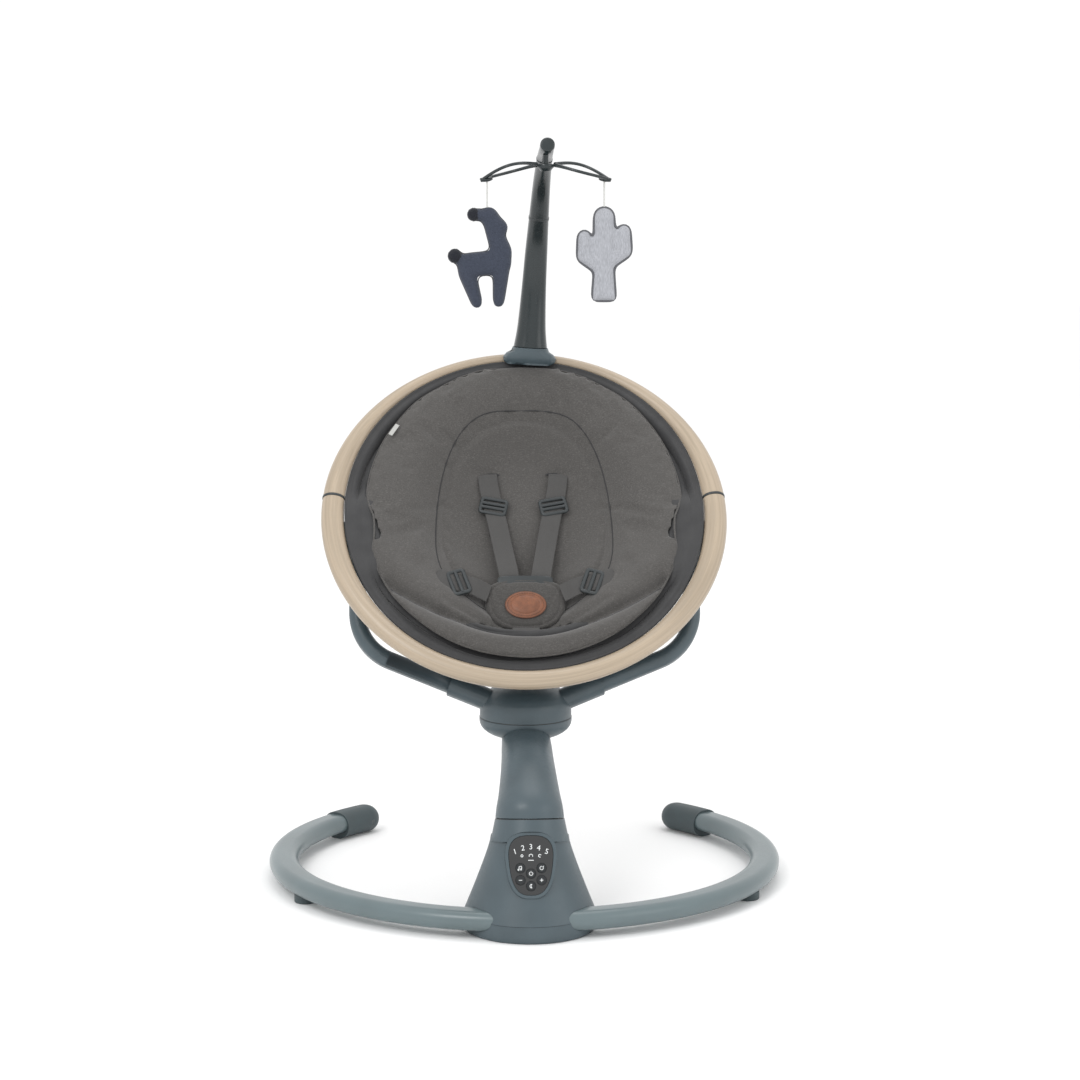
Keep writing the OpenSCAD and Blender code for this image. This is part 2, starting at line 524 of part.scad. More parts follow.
// puffed flat toy cut from an outline of discs and bars
module plush(t) { rotate([90, 0, 0]) translate([0, 0, -t/2]) linear_extrude(t) children(); }
module bar(a, b, r1, r2) { hull() { translate(a) circle(r1, $fn = 28); translate(b) circle(r2, $fn = 28); } }
module llama() {
    color("#3a3d47") translate([mobile_x - hang_x, mobile_y, toy_top]) plush(16) {
        bar([2, -11], [4, -13], 11, 10.5);
        bar([8, -17], [17, -25], 8.6, 8.5);
        bar([-8, -9], [-16, -9], 6, 8);
        bar([5, -20], [18, -56], 9, 12.5);
        bar([15, -68], [-22, -71], 14.8, 14.5);
        translate([-40, -60]) circle(8.6);
        bar([17, -80], [14, -117], 9.6, 6.5);
        bar([-25.5, -79.5], [-13, -118], 10.6, 6.5);
    }
}
module cactus() {
    color("#a9adb2") translate([mobile_x + hang_x, mobile_y, toy_top]) plush(14) {
        bar([0, -12.7], [0, -72], 12.4, 12);
        bar([-24.5, -37], [-24.5, -58], 8, 8.5);
        bar([-24.5, -60], [-3, -76], 9, 8);
        bar([24.5, -30], [25, -52], 8, 9);
        bar([25, -54], [3, -70], 9, 8);
        hull() {
            translate([-11.5, -74]) square([23, 2]);
            for (x = [-12, 12]) translate([x, -113]) circle(2.5, $fn = 20);
        }
    }
}
base_pad();
base_plate();
hub_skirt();
hub_shell();
leg_left();
leg_right();
cap_left();
cap_right();
small_feet();
leg_saddle();
leg_screws();
panel_bezel();
panel_face();
button_a();
button_b();
button_c();
button_d();
button_e();
button_f();
circuit_board();
power_inlet();
drive_coil();
bearing_block();
swing_shaft();
stem_shell();
head_bowl();
swivel_spindle();
head_cap();
fork_left();
fork_right();
hinge_left();
hinge_right();
hinge_pins();
latch_left();
latch_right();
knob_left();
knob_right();
lug_left();
lug_right();
ring_head();
ring_foot();
ring_joints();
arm_bracket();
arm_lower();
arm_upper();
arm_end();
bucket();
pad();
inlay();
straps_shoulder();
straps_waist();
sliders();
buckle();
buckle_button();
mobile();
string_left();
string_right();
llama();
cactus();
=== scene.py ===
"""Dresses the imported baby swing: its hard parts get their finishes, and its cloth parts are cut, sewn and stuffed."""

import json
import math

import bmesh
import bpy
from bpy.props import FloatProperty, FloatVectorProperty, IntProperty, PointerProperty
from mathutils import Matrix, Vector, noise
from mathutils.bvhtree import BVHTree

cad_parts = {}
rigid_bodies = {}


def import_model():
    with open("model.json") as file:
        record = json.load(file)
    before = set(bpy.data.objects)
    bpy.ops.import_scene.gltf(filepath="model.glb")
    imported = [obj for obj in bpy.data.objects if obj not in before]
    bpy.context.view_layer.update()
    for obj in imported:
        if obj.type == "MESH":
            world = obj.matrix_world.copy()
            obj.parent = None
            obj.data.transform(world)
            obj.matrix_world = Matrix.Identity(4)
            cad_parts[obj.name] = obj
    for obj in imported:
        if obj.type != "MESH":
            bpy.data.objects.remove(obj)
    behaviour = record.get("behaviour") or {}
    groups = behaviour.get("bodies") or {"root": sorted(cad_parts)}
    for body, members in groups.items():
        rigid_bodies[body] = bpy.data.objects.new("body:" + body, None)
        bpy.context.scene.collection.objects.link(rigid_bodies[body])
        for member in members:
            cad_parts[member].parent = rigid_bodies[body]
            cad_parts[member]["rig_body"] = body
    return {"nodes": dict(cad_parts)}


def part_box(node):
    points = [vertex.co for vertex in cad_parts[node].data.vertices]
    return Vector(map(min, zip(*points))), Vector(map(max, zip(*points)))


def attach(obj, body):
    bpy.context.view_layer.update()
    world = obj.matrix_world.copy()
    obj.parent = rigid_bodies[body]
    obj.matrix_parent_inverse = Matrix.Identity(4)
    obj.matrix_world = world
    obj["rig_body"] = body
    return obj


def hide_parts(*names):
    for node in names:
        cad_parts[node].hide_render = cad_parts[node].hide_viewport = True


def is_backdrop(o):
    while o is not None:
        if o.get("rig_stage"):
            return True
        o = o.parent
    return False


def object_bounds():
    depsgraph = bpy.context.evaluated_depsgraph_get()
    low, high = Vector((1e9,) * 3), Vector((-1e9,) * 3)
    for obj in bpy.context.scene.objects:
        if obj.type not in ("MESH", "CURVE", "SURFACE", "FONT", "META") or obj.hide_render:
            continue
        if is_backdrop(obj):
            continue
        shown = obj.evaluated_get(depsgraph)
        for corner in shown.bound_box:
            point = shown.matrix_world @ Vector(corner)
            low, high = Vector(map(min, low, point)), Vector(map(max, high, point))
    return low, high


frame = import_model()
CAD_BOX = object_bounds()
NODES = frame["nodes"]
BODY = {n: o["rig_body"] for n, o in NODES.items()}

bl_info = {
    "name": "Baby swing",
    "version": (1, 0, 0),
    "blender": (4, 5, 0),
    "location": "View3D > Sidebar > Swing",
    "description": "Dresses the packed baby swing with its wood, plastics, fabrics and toys",
    "category": "Object",
}

MM = 0.001
RING_R, SPLIT = 257, 84
SEAT = Matrix.Translation((0, 0.267, 0.462)) @ Matrix.Rotation(math.radians(48), 4, "X")
PANEL = Matrix.Translation((0, -0.054, 0.089)) @ Matrix.Rotation(math.radians(72.5), 4, "X")
BUCKLE = SEAT @ Matrix.Translation((0, -0.124, -0.019)) @ Matrix.Rotation(math.radians(6), 4, "X")
ARM = Matrix.Translation((0, 0, 0.462)) @ Matrix.Rotation(math.radians(3.4), 4, "Y") @ Matrix.Translation((0, 0, -0.462))
SEAT_UP = (SEAT.to_3x3() @ Vector((0, 0, 1))).normalized()
MOBILE_X, MOBILE_Y, MOBILE_Z = 0.437 * math.sin(math.radians(3.4)), 0.236, 0.899
HANG_X, HANG_Z, STRING = 0.0725, 0.8809, 0.031
# toy arm: outer y, outer z, inner y, inner z, half width
ARM_ROWS = [(450, 664, 404, 664, 22), (447, 692, 408, 692, 18.5), (442, 741, 410, 744, 16), (433, 791, 400, 789, 14.5),
            (411, 837, 375, 831, 12.8), (378, 882, 346, 873, 11.2), (319, 914, 294, 903, 9.8), (258, 927, 240, 914, 9), (229, 931, 225, 918, 8.4)]
# stem: y, z, lean of the section, half width, half depth
STEM_ROWS = [(0, 133, 11.8, 41, 41), (4, 146, 20, 39.5, 39), (22, 155, 46, 37, 33.5), (58, 170, 67, 34, 28.5),
             (102, 181, 76, 32, 25.5), (150, 188, 80, 31, 24), (192, 192, 85, 29, 19), (222, 193, 90, 20, 10)]
# fabric bucket: share of the rim's shape, and height
BUCKET_ROWS = [(1, 1.2), (0.93, -3), (0.86, -6), (0.787, -11), (0.777, -31), (0.735, -50), (0.65, -66), (0.49, -76), (0.29, -80), (0.02, -81)]
BUTTONS = {"a": (-12.4, -3.2), "b": (12.4, -3.2), "c": (0, -9.6), "d": (-12.4, -17.3), "e": (12.4, -17.3), "f": (0, -24.2)}


# ---------------------------------------------------------------- settings

class SwingSizes(bpy.types.PropertyGroup):
    webbing: FloatProperty(name="Webbing", description="Width of the harness webbing", default=0.025, min=0.02, max=0.03, unit="LENGTH")
    string: FloatProperty(name="String", description="Thickness of the toys' strings", default=0.0024, min=0.0015, max=0.003, unit="LENGTH")
    pad_swell: FloatProperty(name="Pad swell", description="How far the stuffing may push the pad's skin out", default=0.006, min=0.002, max=0.012, unit="LENGTH")
    inlay_swell: FloatProperty(name="Inlay swell", description="How far the stuffing may push the infant inlay's skin out", default=0.005, min=0.002, max=0.01, unit="LENGTH")
    fold: FloatProperty(name="Liner fold", description="Height of the liner's stretched folds", default=0.0028, min=0.0005, max=0.004, unit="LENGTH")
    stitch: FloatProperty(name="Stitch", description="Length of one topstitch", default=0.0034, min=0.002, max=0.006, unit="LENGTH")
    ring_points: IntProperty(name="Ring points", description="Points round the wooden ring's section", default=32, min=16, max=64)


def tint(name, text, value):
    return FloatVectorProperty(name=name, description=text, default=linear(value)[:3], subtype="COLOR", size=3, min=0, max=1)


def linear(text):
    """sRGB hex text as linear red, green, blue and alpha."""
    parts = [int(text[i:i + 2], 16) / 255 for i in (1, 3, 5)]
    return [c / 12.92 if c <= 0.04045 else ((c + 0.055) / 1.055) ** 2.4 for c in parts] + [1.0]


class SwingColours(bpy.types.PropertyGroup):
    slate: tint("Slate", "Moulded hub, stem, fork and hinges", "#445157")
    tube: tint("Floor tube", "Painted floor tube", "#5f6d70")
    gloss: tint("Toy arm", "Toy arm and mobile", "#1f2729")
    dark: tint("Dark plastic", "Knobs, catches and sliders", "#2c3133")
    rubber: tint("Rubber", "Floor pad, end caps and feet", "#3f4a4d")
    wood: tint("Wood", "Bent ring", "#ab9b86")
    pad: tint("Pad", "Melange jersey of the pad and inlay", "#565452")
    liner: tint("Liner", "Taffeta of the bucket", "#3a3a3b")
    webbing: tint("Webbing", "Harness webbing", "#454443")
    leather: tint("Leather", "Badge on the buckle", "#7a4a30")
    llama: tint("Llama", "Felt of the left toy", "#3b404c")
    cactus: tint("Cactus", "Satin of the right toy", "#a3a5ab")


# ---------------------------------------------------------------- small helpers

def add(tree, kind, wires=None, **settings):
    """Adds a node, sets its own settings, then its sockets: a socket in wires is linked, anything else is its value."""
    made = tree.nodes.new(kind)
    for name, value in settings.items():
        setattr(made, name, value)
    for name, value in (wires or {}).items():
        if isinstance(value, bpy.types.NodeSocket):
            tree.links.new(value, made.inputs[name])
        else:
            made.inputs[name].default_value = value
    return made


def smooth(t):
    t = min(1.0, max(0.0, t))
    return t * t * (3 - 2 * t)


def spow(v, p):
    return math.copysign(abs(v) ** p, v)


def along(rows, u):
    """A smooth curve through the rows of numbers, at u."""
    i = max(0, min(int(u), len(rows) - 1))
    t = u - i
    a, b, c, d = (rows[max(0, min(len(rows) - 1, k))] for k in (i - 1, i, i + 1, i + 2))
    return [0.5 * (2 * q + (r - p) * t + (2 * p - 5 * q + 4 * r - s) * t * t + (3 * q - p - 3 * r + s) * t ** 3) for p, q, r, s in zip(a, b, c, d)]


def seat(x, s, h):
    """A place on the seat: across, up the slope and over the ring's plane, in millimetres."""
    return SEAT @ Vector((x * MM, s * MM, h * MM))


def ring_half(angle):
    """Half thickness of the wooden ring at an angle from its head end, in millimetres."""
    q = abs((angle + 180) % 360 - 180)
    return 6 + 8.7 * smooth((q / 95) ** 1.25) if q < 95 else 14.7 - 2.7 * smooth((q - 95) / 60)


def pad_f(x, s):
    return math.hypot(x / 203, (s - 10.5) / 228.5)


def pad_top(x, s):
    """Height of the pad's face over the ring's plane, in millimetres."""
    f = pad_f(x, s)
    v = max(0.0, (10.5 - s) / 228.5)
    dent = 24 * smooth(1.4 - math.hypot(x / 70, (s + 138) / 46))
    return -50 + 60 * smooth((f - 0.3) / 0.62) - 4 * smooth((f - 0.93) / 0.07) - 6 * (1 - smooth(f / 0.8)) * v + 5 * smooth((f - 0.6) / 0.3) * smooth(v) - dent


def pad_lift(x, s):
    """How far the pad is raised over a hinge lug, from 0 to 1."""
    return smooth((abs(x) - 166) / 8) * smooth((42 - abs(s + 18)) / 9)


def pad_under(x, s):
    r, k = math.hypot(x, s - 12), pad_lift(x, s)
    low = max(-77, pad_top(x, s) - 26) if r < 174 else -9.8 + 12 * smooth((r - 182) / 48)
    return low * (1 - k) + 5.4 * k


def roll_seam(x):
    """Slope position of the seam between the pad's back and its front roll."""
    return -172 + 73 * (abs(x) / 176) ** 2.2


def ring_edges(verts):
    inside = set(verts)
    return list({e for v in verts for e in v.link_edges if e.other_vert(v) in inside})


def skin(bm, places, count, caps=True, closed=False):
    """Bridges rings of vertices into a straight tube, closes its ends or joins them, and puts each ring in its place."""
    rings = []
    for i in range(len(places)):
        made = bmesh.ops.create_circle(bm, segments=count, radius=1)["verts"]
        for v in made:
            v.co.z = i
        rings.append(made)
    edges = [ring_edges(r) for r in rings]
    for a, b in zip(edges, edges[1:] + ([edges[0]] if closed else [])):
        bmesh.ops.bridge_loops(bm, edges=a + b)
    if caps and not closed:
        for ends in (rings[0], rings[-1]):
            bmesh.ops.contextual_create(bm, geom=[e for e in ring_edges(ends) if len(e.link_faces) < 2])
    for place, ring in zip(places, rings):
        for v in ring:
            v.co = place(math.atan2(v.co.y, v.co.x))
    return rings


def rope(bm, points, radius, count=10, closed=False, flat=1.0, up=Vector((0, 0, 1)), caps=True):
    """A round or flattened tube along points. Its width lies across up."""
    n = len(points)
    places = []
    for i, p in enumerate(points):
        a = points[(i - 1) % n] if closed else points[max(0, i - 1)]
        b = points[(i + 1) % n] if closed else points[min(n - 1, i + 1)]
        d = (b - a).normalized()
        side = d.cross(up if abs(d.dot(up)) < 0.98 else Vector((0, 1, 0))).normalized()
        top = side.cross(d)
        r = radius(i / max(1, n - 1)) if callable(radius) else radius
        places.append(lambda t, p=p, side=side, top=top, r=r: p + side * (r * math.cos(t)) + top * (r * flat * math.sin(t)))
    return skin(bm, places, count, caps, closed)


def keep(name, bm, body, material, replaces=(), angle=38, slot=None, turn=True):
    """Turns a bmesh into a piece of the swing that rides on a body."""
    if turn:
        bmesh.ops.recalc_face_normals(bm, faces=bm.faces)
    mesh = bpy.data.meshes.new(name)
    bm.to_mesh(mesh)
    bm.free()
    mesh.materials.append(material)
    mesh.polygons.foreach_set("use_smooth", [True] * len(mesh.polygons))
    mesh.set_sharp_from_angle(angle=math.radians(angle))
    made = bpy.data.objects.new(name, mesh)
    bpy.context.scene.collection.objects.link(made)
    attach(made, body)
    if replaces:
        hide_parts(*replaces)
    return made


def finer(piece, levels=1):
    made = piece.modifiers.new("Finer", "SUBSURF")
    made.levels = made.render_levels = levels
    return piece


def eased(piece, width, segments=2):
    """Rounds a hard piece's sharp edges."""
    made = piece.modifiers.new("Eased", "BEVEL")
    made.width, made.segments, made.limit_method, made.angle_limit = width, segments, "ANGLE", math.radians(38)
    made.harden_normals = True
    return piece


def settle(piece):
    """Applies what a piece's modifiers do to its mesh."""
    graph = bpy.context.evaluated_depsgraph_get()
    mesh = bpy.data.meshes.new_from_object(piece.evaluated_get(graph))
    old = piece.data
    piece.modifiers.clear()
    piece.data = mesh
    bpy.data.meshes.remove(old)
    return piece


def tree_of(*pieces):
    """A search tree over the faces of some pieces, as they stand."""
    bm = bmesh.new()
    for p in pieces:
        bm.from_mesh(p.data)
    made = BVHTree.FromBMesh(bm)
    bm.free()
    return made


def hard_copy(node, finish, edge=0.0006, angle=33):
    """A merged, smooth-shaded copy of a hard node, with its edges eased."""
    bm = bmesh.new()
    bm.from_mesh(NODES[node].data)
    bmesh.ops.remove_doubles(bm, verts=bm.verts, dist=3e-6)
    bmesh.ops.dissolve_limit(bm, angle_limit=math.radians(0.4), verts=bm.verts, edges=bm.edges)
    made = keep(node + "_part", bm, BODY[node], finish, (node,), angle, turn=False)
    return eased(made, edge) if edge else made


def paint(node, finish):
    """Gives a hard node that keeps its own shape a finish."""
    for s in NODES[node].material_slots:
        s.material = finish


def puff(piece, pressure, limit, held=None, frames=20):
    """Stuffs a closed skin: a cloth simulation under pressure whose points move at most limit, and applies it."""
    rest = [v.co.copy() for v in piece.data.vertices]
    group = piece.vertex_groups.new(name="held")
    for i, co in enumerate(rest):
        group.add([i], held(co) if held else 0.0, "REPLACE")
    cloth = piece.modifiers.new("Cloth", "CLOTH")
    cloth.settings.quality = 5
    cloth.settings.mass = 0.25
    cloth.settings.tension_stiffness = cloth.settings.compression_stiffness = 12
    cloth.settings.shear_stiffness, cloth.settings.bending_stiffness = 6, 0.6
    cloth.settings.use_pressure, cloth.settings.uniform_pressure_force = True, pressure
    cloth.settings.effector_weights.gravity = 0
    cloth.settings.vertex_group_mass = "held"
    cloth.point_cache.frame_start, cloth.point_cache.frame_end = 1, frames
    scene = bpy.context.scene
    for f in range(1, frames + 1):
        scene.frame_set(f)
    graph = bpy.context.evaluated_depsgraph_get()
    moved = [v.co.copy() for v in piece.evaluated_get(graph).data.vertices]
    piece.modifiers.clear()
    piece.vertex_groups.clear()
    for v, a, b in zip(piece.data.vertices, rest, moved):
        step = b - a
        v.co = a + (step * (limit / step.length) if step.length > limit else step)
    scene.frame_set(1)


def remesh(piece, size):
    made = piece.modifiers.new("Remesh", "REMESH")
    made.mode, made.voxel_size, made.use_smooth_shade = "VOXEL", size, True
    return settle(piece)


def shape(piece, move):
    """Moves every point of a piece by move(across, slope, height), all in millimetres on the seat."""
    back = SEAT.inverted()
    for v in piece.data.vertices:
        q = back @ v.co
        v.co = SEAT @ (Vector(move(q.x / MM, q.y / MM, q.z / MM)) * MM)
    piece.data.update()


# ---------------------------------------------------------------- finishes

FINISHES = {}


def finish(maker, name, colour, *options):
    """One material of each kind and colour, made once."""
    if name not in FINISHES:
        made = bpy.data.materials.new(name)
        made.use_nodes = True
        made.node_tree.nodes.clear()
        maker(made.node_tree, colour, *options)
        FINISHES[name] = made
    return FINISHES[name]


def shade(colour, by):
    return [min(1.0, c * by) for c in colour[:3]] + [1.0]


def moulded_abs(tree, colour, rough=0.4, grit=0.1):
    """ABS from a spark-eroded mould: a satin grain breaks up each highlight, and slow flow clouds shift its tone."""
    place = add(tree, "ShaderNodeTexCoord").outputs["Object"]
    # spark grain is about 0.2 mm, drawn at 0.7 mm so that it shows
    grain = add(tree, "ShaderNodeTexNoise", {"Vector": place, "Scale": 1 / (0.7 * MM), "Detail": 2.0}).outputs[0]
    cloud = add(tree, "ShaderNodeTexNoise", {"Vector": place, "Scale": 1 / (45 * MM), "Detail": 3.0}).outputs[0]
    # rubbed spots, about 4 mm, where hands and the floor polish the grain
    rub = add(tree, "ShaderNodeTexNoise", {"Vector": place, "Scale": 1 / (4 * MM), "Detail": 4.0, "Roughness": 0.7}).outputs[0]
    tone = add(tree, "ShaderNodeMapRange", {"Value": cloud, 1: 0.35, 2: 0.65}).outputs[0]
    base = add(tree, "ShaderNodeMix", {0: tone, 6: shade(colour, 0.93), 7: shade(colour, 1.07)}, data_type="RGBA").outputs[2]
    gloss = add(tree, "ShaderNodeMapRange", {"Value": rub, 1: 0.3, 2: 0.7, 3: rough - 0.07, 4: rough + 0.06}).outputs[0]
    bump = add(tree, "ShaderNodeBump", {"Strength": grit, "Distance": 0.1 * MM, "Height": grain}).outputs[0]
    skin_ = add(tree, "ShaderNodeBsdfPrincipled", {"Base Color": base, "Roughness": gloss, "Normal": bump, "IOR": 1.53})
    add(tree, "ShaderNodeOutputMaterial", {"Surface": skin_.outputs[0]})


def painted_tube(tree, colour):
    """Powder-coated steel tube: an even semi-gloss film with soft orange peel, so highlights run long and waver."""
    place = add(tree, "ShaderNodeTexCoord").outputs["Object"]
    peel = add(tree, "ShaderNodeTexNoise", {"Vector": place, "Scale": 1 / (2.6 * MM), "Detail": 1.0}).outputs[0]
    cloud = add(tree, "ShaderNodeTexNoise", {"Vector": place, "Scale": 1 / (60 * MM), "Detail": 2.0}).outputs[0]
    fleck = add(tree, "ShaderNodeTexVoronoi", {"Vector": place, "Scale": 1 / (1.1 * MM)}, feature="F1").outputs["Color"]
    tone = add(tree, "ShaderNodeMapRange", {"Value": cloud, 1: 0.35, 2: 0.65}).outputs[0]
    base = add(tree, "ShaderNodeMix", {0: tone, 6: shade(colour, 0.94), 7: shade(colour, 1.06)}, data_type="RGBA").outputs[2]
    speck = add(tree, "ShaderNodeMapRange", {"Value": fleck, 1: 0.0, 2: 1.0, 3: 0.29, 4: 0.36}).outputs[0]
    bump = add(tree, "ShaderNodeBump", {"Strength": 0.12, "Distance": 0.12 * MM, "Height": peel}).outputs[0]
    skin_ = add(tree, "ShaderNodeBsdfPrincipled", {"Base Color": base, "Roughness": speck, "Normal": bump, "Coat Weight": 0.25, "Coat Roughness": 0.2})
    add(tree, "ShaderNodeOutputMaterial", {"Surface": skin_.outputs[0]})


def polished_polycarbonate(tree, colour):
    """Polished black polycarbonate with a hard coat: deep, mirror-like, with the faintest smears and hairlines."""
    place = add(tree, "ShaderNodeTexCoord").outputs["Object"]
    smear = add(tree, "ShaderNodeTexNoise", {"Vector": place, "Scale": 1 / (9 * MM), "Detail": 5.0, "Distortion": 1.2}).outputs[0]
    hair = add(tree, "ShaderNodeTexNoise", {"Vector": add(tree, "ShaderNodeMapping", {"Vector": place, "Scale": (1400, 90, 90)}).outputs[0], "Scale": 1.0}).outputs[0]
    gloss = add(tree, "ShaderNodeMapRange", {"Value": smear, 1: 0.3, 2: 0.7, 3: 0.1, 4: 0.24}).outputs[0]
    bump = add(tree, "ShaderNodeBump", {"Strength": 0.03, "Distance": 0.05 * MM, "Height": hair}).outputs[0]
    skin_ = add(tree, "ShaderNodeBsdfPrincipled", {"Base Color": colour, "Roughness": gloss, "Normal": bump, "IOR": 1.58, "Coat Weight": 0.6, "Coat Roughness": 0.06})
    add(tree, "ShaderNodeOutputMaterial", {"Surface": skin_.outputs[0]})


def moulded_rubber(tree, colour):
    """TPE rubber from a blasted mould: nearly matt, slightly dusty, with a fine pebble."""
    place = add(tree, "ShaderNodeTexCoord").outputs["Object"]
    pebble = add(tree, "ShaderNodeTexVoronoi", {"Vector": place, "Scale": 1 / (0.9 * MM)}, feature="SMOOTH_F1").outputs["Distance"]
    dust = add(tree, "ShaderNodeTexNoise", {"Vector": place, "Scale": 1 / (14 * MM), "Detail": 5.0}).outputs[0]
    tone = add(tree, "ShaderNodeMapRange", {"Value": dust, 1: 0.35, 2: 0.7}).outputs[0]
    base = add(tree, "ShaderNodeMix", {0: tone, 6: shade(colour, 0.92), 7: shade(colour, 1.14)}, data_type="RGBA").outputs[2]
    gloss = add(tree, "ShaderNodeMapRange", {"Value": dust, 1: 0.3, 2: 0.7, 3: 0.6, 4: 0.76}).outputs[0]
    bump = add(tree, "ShaderNodeBump", {"Strength": 0.2, "Distance": 0.15 * MM, "Height": pebble}).outputs[0]
    skin_ = add(tree, "ShaderNodeBsdfPrincipled", {"Base Color": base, "Roughness": gloss, "Normal": bump, "Sheen Weight": 0.08})
    add(tree, "ShaderNodeOutputMaterial", {"Surface": skin_.outputs[0]})


def turned_steel(tree, colour):
    """Bright turned steel: fine lathe lines round each pin draw its highlight into a band."""
    place = add(tree, "ShaderNodeTexCoord").outputs["Object"]
    lines = add(tree, "ShaderNodeTexNoise", {"Vector": add(tree, "ShaderNodeMapping", {"Vector": place, "Scale": (60, 60, 2500)}).outputs[0], "Scale": 1.0, "Detail": 2.0}).outputs[0]
    gloss = add(tree, "ShaderNodeMapRange", {"Value": lines, 1: 0.3, 2: 0.7, 3: 0.2, 4: 0.38}).outputs[0]
    base = add(tree, "ShaderNodeMix", {0: lines, 6: shade(colour, 0.9), 7: shade(colour, 1.05)}, data_type="RGBA").outputs[2]
    bump = add(tree, "ShaderNodeBump", {"Strength": 0.1, "Distance": 0.04 * MM, "Height": lines}).outputs[0]
    skin_ = add(tree, "ShaderNodeBsdfPrincipled", {"Base Color": base, "Metallic": 1.0, "Roughness": gloss, "Normal": bump})
    add(tree, "ShaderNodeOutputMaterial", {"Surface": skin_.outputs[0]})


def lacquered_beech(tree, colour):
    """Steam-bent beech under satin lacquer: pale straight grain that follows the bend, short dark flecks, a soft gloss."""
    grain = add(tree, "ShaderNodeAttribute", attribute_name="grain").outputs["Vector"]
    # year rings about 2.5 mm apart that run 250 mm along the bend
    years = add(tree, "ShaderNodeTexNoise", {"Vector": add(tree, "ShaderNodeMapping", {"Vector": grain, "Scale": (4, 260, 330)}).outputs[0], "Scale": 1.0, "Detail": 3.0, "Distortion": 0.5}).outputs[0]
    fibre = add(tree, "ShaderNodeTexNoise", {"Vector": add(tree, "ShaderNodeMapping", {"Vector": grain, "Scale": (22, 1300, 1300)}).outputs[0], "Scale": 1.0, "Detail": 2.0}).outputs[0]
    # beech flecks are 1 to 3 mm long and 0.2 mm wide, drawn at 0.7 mm so that they show
    fleck = add(tree, "ShaderNodeTexVoronoi", {"Vector": add(tree, "ShaderNodeMapping", {"Vector": grain, "Scale": (150, 800, 800)}).outputs[0], "Scale": 1.0}, feature="F1").outputs["Distance"]
    patch = add(tree, "ShaderNodeTexNoise", {"Vector": add(tree, "ShaderNodeMapping", {"Vector": grain, "Scale": (9, 20, 20)}).outputs[0], "Scale": 1.0}).outputs[0]
    bands = add(tree, "ShaderNodeMapRange", {"Value": years, 1: 0.35, 2: 0.68}, interpolation_type="SMOOTHSTEP").outputs[0]
    base = add(tree, "ShaderNodeMix", {0: bands, 6: shade(colour, 1.08), 7: shade(colour, 0.84)}, data_type="RGBA").outputs[2]
    fine = add(tree, "ShaderNodeMapRange", {"Value": fibre, 1: 0.4, 2: 0.75, 3: 0.0, 4: 0.4}).outputs[0]
    base = add(tree, "ShaderNodeMix", {0: fine, 6: base, 7: shade(colour, 0.74)}, data_type="RGBA").outputs[2]
    marks = add(tree, "ShaderNodeMapRange", {"Value": fleck, 1: 0.2, 2: 0.05, 3: 0.0, 4: 0.42}).outputs[0]
    base = add(tree, "ShaderNodeMix", {0: marks, 6: base, 7: shade([0.32, 0.19, 0.1], 1)}, data_type="RGBA").outputs[2]
    wide = add(tree, "ShaderNodeMapRange", {"Value": patch, 1: 0.3, 2: 0.7, 3: 0.0, 4: 0.3}).outputs[0]
    base = add(tree, "ShaderNodeMix", {0: wide, 6: base, 7: shade(colour, 1.12)}, data_type="RGBA").outputs[2]
    gloss = add(tree, "ShaderNodeMapRange", {"Value": fibre, 1: 0.3, 2: 0.7, 3: 0.36, 4: 0.5}).outputs[0]
    bump = add(tree, "ShaderNodeBump", {"Strength": 0.1, "Distance": 0.1 * MM, "Height": fibre}).outputs[0]
    skin_ = add(tree, "ShaderNodeBsdfPrincipled", {"Base Color": base, "Roughness": gloss, "Normal": bump, "Coat Weight": 0.35, "Coat Roughness": 0.28, "IOR": 1.5})
    add(tree, "ShaderNodeOutputMaterial", {"Surface": skin_.outputs[0]})


